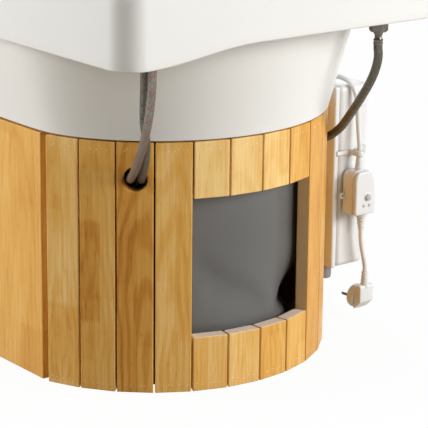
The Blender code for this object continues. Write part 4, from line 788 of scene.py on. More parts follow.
shell("mixer_stem_turned", [turned(ball, PIVOT, 32)], chrome, ["mixer_stem"], "tap_stem")
cap = [(0, 0.020), (0.006, 0.0197), (0.0117, 0.0186), (0.0155, 0.0164), (0.0180, 0.0130), (0.0193, 0.0080),
       (0.0195, 0.0040), (0.0195, 0.001), (0.0190, 0), (0.0066, 0)]
cap += [(SOCKET_RADIUS * math.cos(t), SOCKET_RADIUS * math.sin(t)) for t in np.radians(range(0, 91, 15))]
lever = aimed(PIVOT + UP * 0.011, [(0, 0), (0.039, 0.006), (0.078, 0.016)], 8, (0.0052, 0.0040), 20)
shell("mixer_handle_cast", [turned(cap, PIVOT), lever], chrome, ["mixer_handle"], "tap_handle")


# Shower outlet: a turned and plated union through the deck, and screwed on under it the nickel-plated nut of its
# hose, with six flats and a crimped ferrule.
OUTLET = np.array([0.177, -0.300 + HEAD_Y, DECK])
NUT_DROP, NUT_HEIGHT, NUT_ACROSS, NUT_TURN = 0.1143, 0.020, 0.024, math.radians(10)
NUT_END, NUT_CHAMFER = 0.0112, 1.1
NUT_LEVELS = np.array([0, 0, 0.0006, 0.0012, 0.0020, 0.0032])


def hexagon(place):
    """A nut: six flats whose corners are cut by a cone at top and bottom, so a level's outline is the lesser of the
    hexagon and a circle that widens away from the end."""
    turn = np.linspace(0, 2 * np.pi, 73)[:-1]
    flats = NUT_ACROSS / 2 / np.cos((turn - NUT_TURN) % (np.pi / 3) - np.pi / 6)
    levels = np.concatenate([NUT_LEVELS, NUT_HEIGHT - NUT_LEVELS[::-1]])[:, None]
    radius = np.minimum(flats, NUT_END + NUT_CHAMFER * np.minimum(levels, NUT_HEIGHT - levels))
    radius[[0, -1]] = 0
    return np.stack([radius * np.cos(turn), radius * np.sin(turn), 0 * radius + levels], -1) + place


union = [(0, 0.026), (0.0090, 0.026), (0.0103, 0.0248), (0.0105, 0.012), (0.0120, 0.0095), (0.0160, 0.006),
         (0.0178, 0.003), (0.0180, 0), (0.0100, 0), (0.0100, -0.094), (0, -0.094)]
shell("shower_outlet_turned", [turned(union, OUTLET)], chrome, ["shower_outlet"])
ferrule = [(0, 0.004), (0.0066, 0.004), (0.0066, -0.0025), (0.0061, -0.0042), (0.0054, -0.005), (0.0054, -0.009),
           (0.0060, -0.0104), (0.0070, -0.011), (0.0070, -0.0128), (0.0066, -0.0135), (0.0066, -0.0150),
           (0.0070, -0.0156), (0.0070, -0.018), (0, -0.018)]
nickel = metal("dull_nickel", "chrome", (0.085, 0.077, 0.060), (0.24, 0.225, 0.195), 120, 0.22, 0.2)
nut_place = OUTLET - UP * NUT_DROP
nut = [hexagon(nut_place), turned(ferrule, nut_place, 32)]
shell("shower_hose_nut_turned", nut, nickel, ["shower_hose_nut"], sharp=30)


# Hoses: rubber tubes in a jacket of woven stainless wire, with a coloured tracer yarn on the tap's two tails. Each
# hangs from its coupling under the rim, goes through its hole and comes down on its coupling inside the base.
TAP_HOSE, SHOWER_HOSE = 0.0118, 0.0130
TAIL_TOP, COUPLING_X, COUPLING_TOP = 0.5757, 0.21587, 0.1503
HOT_ROUTE = [
    (-0.2360, -0.3182, TAIL_TOP), (-0.2360, -0.3182, 0.5450), (-0.2360, -0.3181, 0.5150), (-0.2358, -0.3175, 0.4900),
    (-0.2356, -0.3160, 0.4700), (-0.2348, -0.3112, 0.4445), (-0.2303, -0.2990, 0.4190), (-0.2165, -0.2698, 0.3840),
    (-0.2040, -0.2420, 0.3560), (-0.1925, -0.2160, 0.3320), (-0.1815, -0.1935, 0.3175), (-0.1665, -0.1738, 0.3110),
    (-0.1540, -0.1590, 0.3040), (-0.1520, -0.1400, 0.2860), (-0.1640, -0.1120, 0.2600), (-0.1820, -0.0790, 0.2320),
    (-0.2000, -0.0480, 0.2050), (-0.2140, -0.0270, 0.1830), (-COUPLING_X, -0.0200, 0.1680),
    (-COUPLING_X, -0.0200, COUPLING_TOP),
]
COLD_ROUTE = [
    (-0.2385, -0.3052, TAIL_TOP), (-0.2385, -0.3052, 0.5450), (-0.2386, -0.3050, 0.5150), (-0.2382, -0.3040, 0.4900),
    (-0.2370, -0.3015, 0.4700), (-0.2308, -0.2922, 0.4405), (-0.2215, -0.2800, 0.4185), (-0.2080, -0.2650, 0.3955),
    (-0.1920, -0.2440, 0.3655), (-0.1780, -0.2195, 0.3350), (-0.1679, -0.2000, 0.3165), (-0.1555, -0.1837, 0.3110),
    (-0.1400, -0.1680, 0.3030), (-0.1300, -0.1440, 0.2850), (-0.1340, -0.1070, 0.2590), (-0.1550, -0.0600, 0.2320),
    (-0.1850, -0.0130, 0.2080), (-0.2080, 0.0130, 0.1880), (-COUPLING_X, 0.0200, 0.1680),
    (-COUPLING_X, 0.0200, COUPLING_TOP),
]
SHOWER_ROUTE = [
    (0.177, -0.300, 0.4837), (0.177, -0.300, 0.4790), (0.1785, -0.2995, 0.4640), (0.1790, -0.2935, 0.4445),
    (0.1800, -0.2820, 0.4243), (0.1840, -0.2630, 0.4017), (0.1915, -0.2385, 0.3775), (0.2040, -0.2050, 0.3490),
    (0.2110, -0.1860, 0.3345), (0.2110, -0.1700, 0.3220), (0.2070, -0.1584, 0.3145), (0.2027, -0.1473, 0.3110),
    (0.1984, -0.1362, 0.3080), (0.1925, -0.1150, 0.2985), (0.1890, -0.0900, 0.2770), (0.1920, -0.0550, 0.2480),
    (0.2030, -0.0250, 0.2180), (0.2130, -0.0060, 0.1900), (COUPLING_X, 0.0000, 0.1720),
    (COUPLING_X, 0.0000, COUPLING_TOP),
]
TRACER_LEAD, TRACER_DOTS = 0.021, 8


def braid(name, wires, lead, dark, light, tracer, depth):
    """Woven wire. The attribute lie holds (cosine, sine, length) on the hose. Two families of helices, wires to a
    turn, cross each other. A tracer yarn winds round under them, and shows as dots between the wires."""
    def paint(place):
        cosine, sine, length = place.stored("lie")
        turn = sine.math("ARCTAN2", cosine) / 6.28318 + 0.5
        travel = length / lead
        first, second = (turn + travel + 40) * wires, (turn - travel + 40) * wires
        over = (first.math("FLOOR") + second.math("FLOOR")).math("PINGPONG", 1)
        height = (1 - first.off_middle() * 2) * over + (1 - second.off_middle() * 2) * (1 - over)
        winding = (turn + length / TRACER_LEAD).off_middle()
        between = (turn * TRACER_DOTS).off_middle()
        marked = (1 - winding.rise(0.045, 0.075)) * (1 - between.rise(0.18, 0.30))
        grime = place.noise(160, 2)
        steel = (height.rise(0.22, 0.85) * (0.55 + grime * 0.6)).mix((*dark, 1), (*light, 1))
        return {"Base Color": marked.mix(steel, (*tracer, 1)), "Roughness": grime * 0.2 + 0.3,
                "Metallic": 0.85 - marked * 0.85, "Normal": height.bump(depth)}
    return coat(name, "steel_braid", {}, paint)


def laid(route, steps):
    """A path along a route: a straight stretch at each end, and a curve between."""
    route = np.array(route)
    return np.concatenate([route[:1], flow(route[1:-1], steps), route[-1:]])


def lengths(path):
    """How far along the path each of its points is."""
    return np.concatenate([[0], np.cumsum(np.linalg.norm(np.diff(path, axis=0), axis=1))])


def hose(node, route, diameter, finish, up):
    """A tube along its route, in step with the part's solid. Each point keeps its direction from the nearest point
    of the path, and that point's length along it."""
    path = laid(route, 8) + (0, HEAD_Y, 0)
    piece = shell(node + "_braided", [swept(path, diameter / 2, 20, up)], finish, [node])
    points = corners_of(piece)
    nearest = np.argmin(np.linalg.norm(points[:, None] - path[None], axis=2), axis=1)
    off = (points - path[nearest]) / (diameter / 2)
    cosine, sine = ((off * way[nearest]).sum(1) for way in across_path(path, up))
    mark(piece, lie=np.stack([cosine, sine, lengths(path)[nearest]], 1))


red = braid("red_tracer_braid", 20, 0.150, (0.028, 0.023, 0.016), (0.52, 0.475, 0.41), (0.52, 0.02, 0.02), 0.0004)
blue = braid("blue_tracer_braid", 20, 0.150, (0.022, 0.018, 0.013), (0.35, 0.315, 0.265), (0.01, 0.03, 0.05), 0.0004)
olive = braid("olive_braid", 22, 0.220, (0.050, 0.046, 0.032), (0.235, 0.222, 0.172), (0.14, 0.13, 0.10), 0.0003)
hose("hot_hose", HOT_ROUTE, TAP_HOSE, red, (0.8, -0.6, 0))
hose("cold_hose", COLD_ROUTE, TAP_HOSE, blue, (0.8, -0.6, 0))
hose("shower_hose", SHOWER_ROUTE, SHOWER_HOSE, olive, (1, 0.2, 0))
keep_nodes(brass, "supply_manifold", "shower_coupling")


# Curtain: a sheet of dark grey vinyl tacked under the ring, hanging behind the window to hide the plumbing. Its free
# edge on the right leans towards the boards, and the lower corner curls in.
CURTAIN_RADIUS, CURTAIN_BOTTOM, CURTAIN_TOP = 0.2313, 0.050, 0.3497
CURTAIN_SPAN, CURTAIN_FLAT, CURTAIN_THICKNESS = np.radians([-33.0, 35.0]), (0.272, 0.300), 0.0010
CURL_TURN, CURL_IN, LEAN_OUT, DENT_DEPTH, WAVE = math.radians(6.0), 0.024, 0.0055, 0.0050, 0.0012


def curtain():
    """A sheet on a cylinder round the nose. The lower right corner turns towards the middle and inwards, the right
    edge above it leans out towards the boards, a dent runs across the lower half, and the foot waves a little."""
    u, v = np.meshgrid(np.linspace(0, 1, 90), np.linspace(0, 1, 100))
    curl = ease((0.45 - v) / 0.30) ** 1.4 * (1 - 0.55 * ease((0.15 - v) / 0.08)) * ease((u - 0.64) / 0.36)
    lean = ease((u - 0.72) / 0.28) * ease((v - 0.10) / 0.25)
    below = 0.50 - 0.55 * u - v
    dent = np.exp(-((below / np.where(below > 0, 0.17, 0.075)) ** 2)) * ease((0.75 - u) / 0.25) * ease((u - 0.1) / 0.2)
    wave = WAVE * np.sin(9 * u + 2) * (1 - v)
    turn = CURTAIN_SPAN[0] + u * (CURTAIN_SPAN[1] - CURTAIN_SPAN[0]) - CURL_TURN * curl
    radius = CURTAIN_RADIUS - CURL_IN * curl + LEAN_OUT * lean - DENT_DEPTH * dent + wave
    height = CURTAIN_BOTTOM + v * (CURTAIN_TOP - CURTAIN_BOTTOM)
    return np.stack([radius * np.sin(turn), HEAD_Y - radius * np.cos(turn), height], -1)


vinyl = mottled((0.095, 0.094, 0.090), (0.125, 0.123, 0.121), (12, 2), 0.36, 0.1, (1100, 2), 0.00006)
curtain_vinyl = coat("curtain_vinyl", "curtain_vinyl", {"Specular IOR Level": 0.5}, vinyl)
sheet_piece = dress(skin("window_curtain_sheet", [curtain()]), curtain_vinyl, ["window_curtain"])
wall = sheet_piece.modifiers.new("thickness", "SOLIDIFY")
wall.thickness, wall.offset = CURTAIN_THICKNESS, 0


# Water heater: two moulded shells clipped together on a plated bracket, which is screwed to the side panel. Two
# threaded pipe stubs stand under it, and a square cord gland on top.
HEATER_WALL = PANEL_X + 0.0059
HEATER_FRONT, HEATER_BACK = -0.124 + HEAD_Y, 0.061 + HEAD_Y
HEATER_BOTTOM, HEATER_TOP = 0.0886, 0.3786
HEATER_SEAM, HEATER_FAR, HEATER_DRAFT = HEATER_WALL + 0.0095, HEATER_WALL + 0.0713, 0.006
STUB_X, STUB_INSET = HEATER_WALL + 0.0155, 0.034


def boxed(name, low, high, radius, finish, replaced=(), arc=3):
    """A dressed box with rounded edges."""
    dress(skin(name, block(low, high, radius, arc)), finish, replaced)


back_low, back_high = (HEATER_WALL, HEATER_FRONT, HEATER_BOTTOM), (HEATER_SEAM, HEATER_BACK, HEATER_TOP)
boxed("heater_back_moulded", back_low, back_high, 0.0030, white_plastic, ["heater_back_shell"], 4)
cover_low, cover_high = (HEATER_SEAM + FIT, HEATER_FRONT, HEATER_BOTTOM), (HEATER_FAR, HEATER_BACK, HEATER_TOP)
cover = skin("heater_cover_moulded", block(cover_low, cover_high, 0.0085, 6))
points = corners_of(cover)
down = (HEATER_TOP - points[:, 2]) / (HEATER_TOP - HEATER_BOTTOM)
points[:, 0] -= HEATER_DRAFT * down * (points[:, 0] - HEATER_SEAM) / (HEATER_FAR - HEATER_SEAM)
move(cover, points)
dress(cover, white_plastic, ["heater_cover"])
boxed("heater_bracket_pressed", *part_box("heater_bracket"), 0.0012, chrome, ["heater_bracket"])
boxed("heater_gland_moulded", *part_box("heater_gland"), 0.0030, white_plastic, ["heater_gland"], 4)
stub = [(0, -FIT), (0.0120, -FIT), (0.0125, -0.0008), (0.0125, -0.0055), (0.0118, -0.0065), (0.0105, -0.0070)]
stub += [(0.0105 + 0.0005 * (k % 2), -0.0085 - 0.0009 * k) for k in range(15)] + [(0.0098, -0.024), (0, -0.024)]
for name, y in (("heater_inlet", HEATER_FRONT + STUB_INSET), ("heater_outlet", HEATER_BACK - STUB_INSET)):
    shell(name + "_threaded", [turned(stub, (STUB_X, y, HEATER_BOTTOM))], grey_plastic, [name], sharp=60)


# Mains lead: a round white flex with an extruded sheath. It comes out of the gland, over the heater's edge and down
# through a leakage switch to an angled plug, and the strap holds it to the heater.
CORD_DIAMETER, CORD_EASING = 0.0075, 18
SWITCH_X, SWITCH_Y, SWITCH_FRONT = 0.29108, -0.14185 + HEAD_Y, -0.1586 + HEAD_Y
SWITCH_BOTTOM, SWITCH_HEIGHT, SWITCH_HALF = 0.1785, 0.069, 0.0195
SWITCH_TOP, SWITCH_COVER, SWITCH_DEPTH = SWITCH_BOTTOM + SWITCH_HEIGHT, 0.0090, 0.0318
RELIEF_LENGTH = 0.0197
RELIEF_TOP = SWITCH_TOP + RELIEF_LENGTH + FIT
CORD_ROUTE = np.array([
    (0.0189, 0.0520, 0.0088), (0.0189, 0.0440, 0.0088), (0.0197, 0.0330, 0.0098), (0.0227, 0.0215, 0.0116),
    (0.0275, 0.0060, 0.0086), (0.0314, -0.0055, -0.0019), (0.0340, -0.0108, -0.0185), (0.0355, -0.0113, -0.0350),
    (0.0363, -0.0119, -0.0510), (0.0364, -0.0136, -0.0666), (0.0361, -0.0158, -0.0806),
]) + (HEATER_WALL, HEATER_FRONT, HEATER_TOP)
CORD_END = [(SWITCH_X, SWITCH_Y, RELIEF_TOP + 0.0185), (SWITCH_X, SWITCH_Y, RELIEF_TOP + FIT)]
PLUG_ROUTE = np.array([
    (0.0080, 0, -0.0283), (0.0080, 0, -0.0345), (0.0092, 0, -0.0505), (0.0124, 0, -0.0655), (0.0166, 0, -0.0795),
    (0.0190, 0, -0.0915), (0.0190, 0, -0.0990),
]) + (SWITCH_X, SWITCH_Y, SWITCH_BOTTOM)


def flex(node, route, up):
    """The lead's round sheath along its route, whose curve is eased by moving each point towards the middle of its
    neighbours a few times."""
    path = laid(route, 6)
    for _ in range(CORD_EASING):
        path[2:-2] += 0.25 * (path[1:-3] - 2 * path[2:-2] + path[3:-1])
    return shell(node + "_sheath", [swept(path, CORD_DIAMETER / 2, 18, up)], white_plastic, [node]), path


cord, cord_path = flex("power_cord", np.concatenate([CORD_ROUTE, CORD_END]), (1, 0, 0))
tail, tail_path = flex("plug_cord", PLUG_ROUTE, (0, 1, 0))


# Leakage switch: two moulded shells that meet at a raised rib, with an eyelet at the side. In front are a reset
# button in its well and two small lamps. Its strain reliefs are moulded with rings so that they bend.
REAR, RIB_HALF = SWITCH_COVER + FIT, 0.0012
EYE = (SWITCH_X - SWITCH_HALF - 0.0052, SWITCH_FRONT + 0.0262, SWITCH_BOTTOM + SWITCH_HEIGHT * 0.42)
EYE_RADIUS, EYE_WIRE = 0.0038, 0.0015
BUTTON_X, BUTTON_Z = 0.00468, 0.0276


def ribbed(length, thick, thin, ribs, groove=0.0012):
    """A strain relief's profile from its thick end: a taper whose radius drops in narrow grooves."""
    profile = [(0, 0), (thick - 0.0006, 0), (thick, -0.0006)]
    pitch = length / (ribs + 0.6)
    for k in range(ribs):
        outer = thick + (thin - thick) * (k + 0.5) / ribs
        start, end = -pitch * (k + 0.45), -pitch * (k + 0.80)
        profile += [(outer, start), (outer - groove, start - 0.0002), (outer - groove, end),
                    (outer - 0.0002, end - 0.0002)]
    return profile + [(thin, -length + 0.0004), (thin - 0.0004, -length), (0, -length)]


def outline(corners, rounding, steps=5):
    """A closed outline with rounded corners: each corner is a quadratic curve between points near it on its sides."""
    corners = np.array(corners, float)
    start, end = (corners + rounding * unit(np.roll(corners, way, 0) - corners) for way in (1, -1))
    t = np.linspace(0, 1, steps)[None, :, None]
    curve = (1 - t) ** 2 * start[:, None] + 2 * t * (1 - t) * corners[:, None] + t**2 * end[:, None]
    return curve.reshape(-1, 2)


def span(shape):
    """The middle of an outline's box, and half its size."""
    return (shape.max(0) + shape.min(0)) / 2, (shape.max(0) - shape.min(0)) / 2


def slab(shape, near, far, rounding, margin=0.0010):
    """An outline in X and Z given its depth along Y, with rounded edges: each level is the outline shrunk about its
    middle. The ends close on a point, inside a flat ring as wide as the margin."""
    middle, size = span(shape)
    edge = quarter(rounding, 5)
    levels = [(rounding + margin, near), *((end, near + start) for end, start in edge)]
    levels += [*((start, far - end) for end, start in edge), (rounding + margin, far)]
    rows = [(0, near), *((1 - inset / size, depth) for inset, depth in levels), (0, far)]
    flat = [(middle + (shape - middle) * share, depth) for share, depth in rows]
    return np.array([np.stack([plan[:, 0], 0 * plan[:, 0] + depth, plan[:, 1]], 1) for plan, depth in flat])


SWITCH_SHAPE = outline([
    (-SWITCH_HALF, 0), (0.0216, 0), (0.0206, SWITCH_HEIGHT * 0.62), (0.0172, SWITCH_HEIGHT * 0.86),
    (0.0100, SWITCH_HEIGHT), (-SWITCH_HALF * 0.72, SWITCH_HEIGHT), (-SWITCH_HALF, SWITCH_HEIGHT * 0.86),
], 0.0045)


def layer(widened, near, far, rounding):
    """A layer of the switch: its outline, widened about its middle, between two depths behind its front."""
    middle = span(SWITCH_SHAPE)[0]
    shape = middle + (SWITCH_SHAPE - middle) * widened
    return slab(shape, near, far, rounding) + (SWITCH_X, SWITCH_FRONT, SWITCH_BOTTOM)


def pushed(profile, x, depth, z, steps):
    """A turned detail on the switch's front, whose axis points out of it."""
    return turned(profile, (SWITCH_X + x, SWITCH_FRONT + depth, SWITCH_BOTTOM + z), steps, (0, -1, 0))


shell("switch_front_moulded", [layer(1, 0, SWITCH_COVER, 0.0028)], white_plastic, ["switch_front_shell"])
wire = np.linspace(0, 2 * np.pi, 13)
eyelet = turned(np.stack([EYE_RADIUS + EYE_WIRE * np.cos(wire), EYE_WIRE * np.sin(wire)], 1), EYE, 24, (0, 1, 0))
rear = [layer((1.03, 1.01), REAR, SWITCH_DEPTH, 0.0032), eyelet]
shell("switch_rear_moulded", rear, white_plastic, ["switch_rear_shell"])
shell("switch_rib_moulded", [layer((1.055, 1.025), REAR - RIB_HALF, REAR + RIB_HALF, 0.0006)], white_plastic)
push = [(0, 0.004), (0.0036, 0.004), (0.0045, 0.0036), (0.0049, 0.0028), (0.0050, 0.0018), (0.0050, -0.0037),
        (0, -0.0037)]
pale_grey = plastic("pale_grey_plastic", "grey_plastic", (0.42, 0.42, 0.43), (0.50, 0.50, 0.50), 0.35)
button = [pushed(push, BUTTON_X, 0, BUTTON_Z, 32)]
shell("switch_button_moulded", button, pale_grey, ["switch_button"], "reset_button")
button_place = np.array([SWITCH_X + BUTTON_X, SWITCH_FRONT, SWITCH_BOTTOM + BUTTON_Z])
well_low, well_high = button_place - (0.0078, FIT, 0.0058), button_place + (0.0078, 0.0030, 0.0078)
boxed("switch_button_well", well_low, well_high, 0.0010, white_plastic)
lamp_dome = [(0.0027, 0), (0.0026, 0.0005), (0.0018, 0.0010), (0, 0.0012)]
shell("switch_lamps", [pushed(lamp_dome, x, 0.0001, 0.0148, 20) for x in (-0.0026, 0.0088)], pale_grey)
relief_place = (SWITCH_X, SWITCH_Y, SWITCH_TOP + FIT)
top_relief = turned(ribbed(RELIEF_LENGTH, 0.0070, 0.0050, 5), relief_place, 28, (0, 0, -1))
shell("switch_top_relief_moulded", [top_relief], white_plastic, ["switch_top_relief"], sharp=35)
collar = [(0, 0), (0.0088, 0), (0.0094, -0.0006), (0.0094, -0.0056), (0.0088, -0.0064), (0.0076, -0.0066)]
collar += [(0.0076 - 0.0011 * (k % 4 in (1, 2)) - 0.00012 * k, -0.0090 - 0.0012 * k) for k in range(10)]
collar += [(0.0062, -0.0215), (0.0053, -0.0222), (0.0050, -0.0277), (0, -0.0277)]
foot_relief = turned(collar, (PLUG_ROUTE[0][0], SWITCH_Y, SWITCH_BOTTOM - FIT), 28)
shell("switch_foot_relief_moulded", [foot_relief], white_plastic, ["switch_bottom_relief"], sharp=35)


# Plug: moulded onto the lead's end in one piece, with a round head, a wedge grip behind it and a ringed neck. Its two
# turned pins are nickel plated, and they point back.
LEAD_END = PLUG_ROUTE[-1]
PLUG_MIDDLE = np.array([LEAD_END[0], LEAD_END[1], 0.041])
PLUG_TURN = math.radians(88)
PIN_WAY = np.array([-math.cos(PLUG_TURN), math.sin(PLUG_TURN), 0])
PLUG_SIDE = np.array([math.sin(PLUG_TURN), math.cos(PLUG_TURN), 0])
PLUG_RADIUS, PLUG_REACH, HEAD_LENGTH, HEAD_DROP = 0.019, 0.0215, 0.013, 0.006
GRIP_REACH, GRIP_HALF, GRIP_ROUND = 0.006, 0.0145, 0.0022
NECK_START, PIN_APART = 0.012, 0.0095


def grip():
    """The wedge behind the plug's head: its side view with rounded corners, given the grip's width with rounded
    edges. Points are laid along the pins' line, across, and up."""
    r, near = PLUG_RADIUS, PLUG_REACH - HEAD_LENGTH + 0.0015
    side = outline([(near, -0.97 * r - HEAD_DROP), (-GRIP_REACH, -0.55 * r), (-GRIP_REACH, 0.74 * r),
                    (0.0036 - GRIP_REACH, 0.92 * r), (near, 0.70 * r)], GRIP_ROUND)
    return PLUG_MIDDLE + slab(side, -GRIP_HALF, GRIP_HALF, GRIP_ROUND) @ [PIN_WAY, PLUG_SIDE, UP]


head = [(0, 0), (0.0165, 0), (0.0182, -0.0005), (PLUG_RADIUS, -0.0016), (PLUG_RADIUS, -0.0112), (0.0185, -0.0124),
        (0.0176, -HEAD_LENGTH), (0, -HEAD_LENGTH)]
face_middle = PLUG_MIDDLE + PLUG_REACH * PIN_WAY - UP * HEAD_DROP
neck_length = LEAD_END[2] - FIT - PLUG_MIDDLE[2] - NECK_START
neck = turned(ribbed(neck_length, 0.0072, 0.0052, 4), PLUG_MIDDLE + UP * NECK_START, 28, (0, 0, -1))
plug = [turned(head, face_middle, 64, PIN_WAY), grip(), neck]
shell("plug_moulded", plug, white_plastic, ["plug_body"], sharp=35)
pin = [(0, 0.0190), (0.0012, 0.0190), (0.0020, 0.0184), (0.0024, 0.0172), (0.0024, FIT), (0, FIT)]
for name, side in (("plug_pin_front", -1), ("plug_pin_rear", 1)):
    pin_place = face_middle - side * PIN_APART * PLUG_SIDE
    shell(name + "_turned", [turned(pin, pin_place, 24, PIN_WAY)], nickel, [name])


# Strap: a moulded band of soft white plastic stuck to the heater's front, with a hump over the lead and a square
# grey pad on its end.
STRAP_FACE, STRAP_LOW, STRAP_WIDTH, STRAP_WALL = HEATER_FRONT - FIT, RELIEF_TOP + 0.002, 0.008, 0.0018
STRAP_LEFT, STRAP_RIGHT, HUMP_OUTER, HUMP_INNER = 0.031, 0.024, 0.00615, 0.00435


def lifted(plan, height):
    """A plan's points in X and Y, at one height or at one for each."""
    return np.concatenate([plan, np.broadcast_to(height, (len(plan), 1))], 1)


def strap():
    """A band's outline seen from above, at rising heights: flat on the heater on both sides, and a half ring over
    the lead."""
    turn = np.radians(np.linspace(0, 180, 19))
    arch = np.stack([np.cos(turn), -np.sin(turn)], 1)
    flat, top = STRAP_FACE - SWITCH_Y, STRAP_FACE - STRAP_WALL - SWITCH_Y
    plan = np.concatenate([
        [(STRAP_RIGHT, flat), (STRAP_RIGHT, top), (HUMP_OUTER, top)], HUMP_OUTER * arch,
        [(-HUMP_OUTER, top), (-STRAP_LEFT, top), (-STRAP_LEFT, flat), (-HUMP_INNER, flat)],
        HUMP_INNER * arch[::-1], [(HUMP_INNER, flat)],
    ]) + (SWITCH_X, SWITCH_Y)
    return np.array([lifted(plan, z) for z in np.linspace(STRAP_LOW, STRAP_LOW + STRAP_WIDTH, 4)])


band = shell("cord_strap_band", [strap()], white_plastic, ["cord_strap"], sharp=35)
ends = bmesh.new()
ends.from_mesh(band.data)
bmesh.ops.holes_fill(ends, edges=ends.edges, sides=0)
bmesh.ops.recalc_face_normals(ends, faces=ends.faces)
ends.to_mesh(band.data)
ends.free()
soft_grey = plastic("soft_grey_plastic", "white_plastic", (0.58, 0.58, 0.575), (0.63, 0.63, 0.62), 0.45)
pad_low = (SWITCH_X + 0.0120, STRAP_FACE - 0.0048, STRAP_LOW - 0.002)
pad_high = (SWITCH_X + 0.0250, STRAP_FACE, STRAP_LOW + 0.0115)
boxed("cord_strap_pad", pad_low, pad_high, 0.0012, soft_grey)


# Mattress: firm foam in a sewn leatherette cover, crowned on top, with its sides drawn in and a cord of piping
# along its upper and lower edges. It lies on the deck.
MATTRESS_FRONT, MATTRESS_END, MATTRESS_HALF = 0.312 + HEAD_Y, 1.868 + HEAD_Y, 0.3320
MATTRESS_BOTTOM, MATTRESS_HEIGHT, MATTRESS_EDGE = 0.3870, 0.1250, 0.014
MATTRESS_CORNER, MATTRESS_WAIST, MATTRESS_CROWN = 0.07, 0.008, 0.013
MATTRESS_SIZE = np.array([MATTRESS_HALF, (MATTRESS_END - MATTRESS_FRONT) / 2])
MATTRESS_MIDDLE = np.array([0, (MATTRESS_FRONT + MATTRESS_END) / 2, MATTRESS_BOTTOM])
PIPING_RADIUS, PIPING_SHARE = 0.0042, 0.3


def leather(place):
    """Leatherette: a pebbled grain over slow creases."""
    cells = {"Vector": place, "Scale": 420}
    pebble = place.node("TexVoronoi", {"feature": "DISTANCE_TO_EDGE"}, cells).rise(0.0, 0.25)
    crease = place.noise(18, 3)
    return {"Base Color": crease.mix((0.050, 0.030, 0.018, 1), (0.085, 0.052, 0.033, 1)),
            "Roughness": crease * 0.15 + 0.46, "Normal": (pebble * 0.6 + crease * 1.5).bump(0.0004)}


def cover_outline():
    """The cover's plan: a long rectangle with rounded corners, in even short steps."""
    corners = np.array([(-1, -1), (1, -1), (1, 1), (-1, 1)]) * MATTRESS_SIZE
    shape = outline(corners, MATTRESS_CORNER, 10)
    return np.concatenate([flow(np.stack([a, b]), 12)[:-1] for a, b in zip(shape, np.roll(shape, -1, 0))])


def mattress():
    """A crowned closed form: an outline with rounded corners at each level, drawn in half way up, whose top and
    bottom close over rings that shrink to the middle while the crown rises."""
    shape, edge, top = cover_outline(), MATTRESS_EDGE, MATTRESS_HEIGHT - MATTRESS_EDGE
    sides = np.sign(shape) * (np.abs(shape) > 0.9 * MATTRESS_SIZE)
    inner = shape * (1 - edge / MATTRESS_HALF)
    wall = [(start, end) for end, start in quarter(edge, 6)[::-1]]
    wall += [(MATTRESS_WAIST * math.sin(math.pi * t) ** 2, edge + t * (top - edge * 2))
             for t in np.linspace(0, 1, 9)[1:-1]]
    wall += [(start, top - end) for end, start in quarter(edge, 6)]
    rows = [lifted(inner * share, 0) for share in (0, 0.3, 0.6, 0.9)]
    rows += [lifted(shape - inset * sides, z) for inset, z in wall]
    for share in (0.96, 0.9, 0.8, 0.65, 0.5, 0.35, 0.2, 0.08, 0):
        u, v = (inner * share / MATTRESS_SIZE).T
        rows.append(lifted(inner * share, (top + MATTRESS_CROWN * (1 - u**2) * (1 - v**4))[:, None]))
    return np.array(rows) + MATTRESS_MIDDLE


def piping(height):
    """A thin cord sewn round the cover at a height: circles square to the outline, closed on itself."""
    path = lifted(cover_outline() * (1 - PIPING_SHARE * MATTRESS_EDGE / MATTRESS_SIZE), height) + MATTRESS_MIDDLE
    side = np.cross(unit(np.roll(path, -1, 0) - np.roll(path, 1, 0)), UP)
    turn = np.linspace(0, 2 * np.pi, 11)[:-1, None]
    return path[:, None] + PIPING_RADIUS * (np.cos(turn) * side[:, None] + np.sin(turn) * UP)


leatherette = coat("leatherette", "leatherette", {"Specular IOR Level": 0.3}, leather)
pad = shell("mattress_cover", [mattress()], leatherette, ["mattress"], sharp=80)
seams = (PIPING_SHARE * MATTRESS_EDGE, MATTRESS_HEIGHT - (1 + PIPING_SHARE) * MATTRESS_EDGE)
dress(skin("mattress_piping", [piping(height) for height in seams], (True, True)), leatherette)


# Studio: a pale floor without end under a dim white sky, two large soft boxes to the left and right of the camera,
# and weaker ones above the basin and behind the bed.
TARGET = Vector((0, -0.80, 0.35))
FLOOR_REACH, FLOOR_SHADE, FLOOR_SEEN = 20, (0.41, 0.350, 0.255, 1), (0.86, 0.86, 0.86, 1)
FLOOR_GLOW, SKY_DIM, SKY_MIRRORED = 0.95, 0.05, 0.42


def ray_kinds(tree):
    """Whether a ray comes from the camera, and whether a shiny or clear surface sends it on: 1 if so, else 0."""
    seen = Value(tree.nodes.new("ShaderNodeLightPath").outputs["Is Camera Ray"])
    return seen, seen.other("Is Glossy Ray").math("MAXIMUM", seen.other("Is Transmission Ray"))


floor_mesh = bpy.data.meshes.new("studio_floor")
floor_corners = [(x * FLOOR_REACH, y * FLOOR_REACH, 0) for x, y in ((-1, -1), (1, -1), (1, 1), (-1, 1))]
floor_mesh.from_pydata(floor_corners, [], [(0, 1, 2, 3)])
floor = placed("studio_floor", floor_mesh)
pale = bpy.data.materials.new("pale_floor")
pale.use_nodes = True
links, shader = pale.node_tree.links, pale.node_tree.nodes["Principled BSDF"]
shader.inputs["Roughness"].default_value = 0.9
seen, mirrored = ray_kinds(pale.node_tree)
links.new(seen.mix(FLOOR_SHADE, FLOOR_SEEN).socket, shader.inputs["Base Color"])
glow = {0: seen.math("MAXIMUM", mirrored) * FLOOR_GLOW, 1: Value(shader.outputs[0]), 2: seen.node("Emission")}
links.new(seen.node("MixShader", None, glow).socket, pale.node_tree.nodes["Material Output"].inputs[0])
floor_mesh.materials.append(pale)

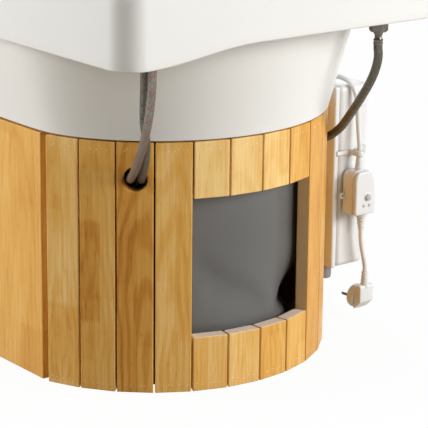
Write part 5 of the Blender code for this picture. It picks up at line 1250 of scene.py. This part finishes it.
sky = bpy.data.worlds.new("studio_sky")
sky.use_nodes = True
seen, mirrored = ray_kinds(sky.node_tree)
dim, bright = (seen.node("Background", None, {"Color": (1, 1, 1, 1), "Strength": x}) for x in (SKY_DIM, 1.0))
open_sky = seen.node("MixShader", None, {0: seen.math("MAXIMUM", mirrored * SKY_MIRRORED), 1: dim, 2: bright})
sky.node_tree.links.new(open_sky.socket, sky.node_tree.nodes["World Output"].inputs[0])
bpy.context.scene.world = sky

for name, turn, lift, distance, width, height, watts in (
    ("left_box", -126, 18, 3.2, 2.4, 1.6, 97),
    ("right_box", 32, 18, 4.0, 3.0, 1.6, 172),
    ("top_box", 0, 84, 3.0, 2.0, 2.0, 36),
    ("back_box", 152, 24, 3.6, 2.4, 2.4, 54),
):
    lamp = bpy.data.lights.new(name, "AREA")
    lamp.shape = "RECTANGLE"
    lamp.size, lamp.size_y, lamp.energy = width, height, watts
    box = placed(name, lamp)
    a, e = math.radians(turn), math.radians(lift)
    box.location = TARGET + distance * Vector((math.sin(a) * math.cos(e), -math.cos(a) * math.cos(e), math.sin(e)))
    box.rotation_euler = (TARGET - box.location).to_track_quat("-Z", "Y").to_euler()


# Camera: a long lens at the photograph's place and tilt. Turn is where it stands round the nose, and yaw how far it
# looks past the nose's axis.
FOCAL_PIXELS, FRAME_PIXELS, SENSOR = 2066.6, 428, 36.0
CAMERA_DISTANCE, CAMERA_HEIGHT = 3.034, 1.0545
turn, yaw, pitch, roll = np.radians([-36.37, -1.75, 15.86, 0.59])
eye = (math.sin(turn) * CAMERA_DISTANCE, -math.cos(turn) * CAMERA_DISTANCE + HEAD_Y, CAMERA_HEIGHT)
right = np.array([math.cos(turn + yaw), math.sin(turn + yaw), 0])
ahead = np.array([-right[1], right[0], 0])
look = math.cos(pitch) * ahead - math.sin(pitch) * UP
up = np.cross(right, look)
axes = [math.cos(roll) * right + math.sin(roll) * up, math.cos(roll) * up - math.sin(roll) * right, -look, eye]
lens = bpy.data.cameras.new("camera")
lens.sensor_width, lens.lens = SENSOR, SENSOR * FOCAL_PIXELS / FRAME_PIXELS
camera = placed("camera", lens)
camera.matrix_world = Matrix([*np.stack(axes, 1).tolist(), (0, 0, 0, 1)])
bpy.context.scene.camera = camera
bpy.context.scene.view_settings.view_transform = "Standard"
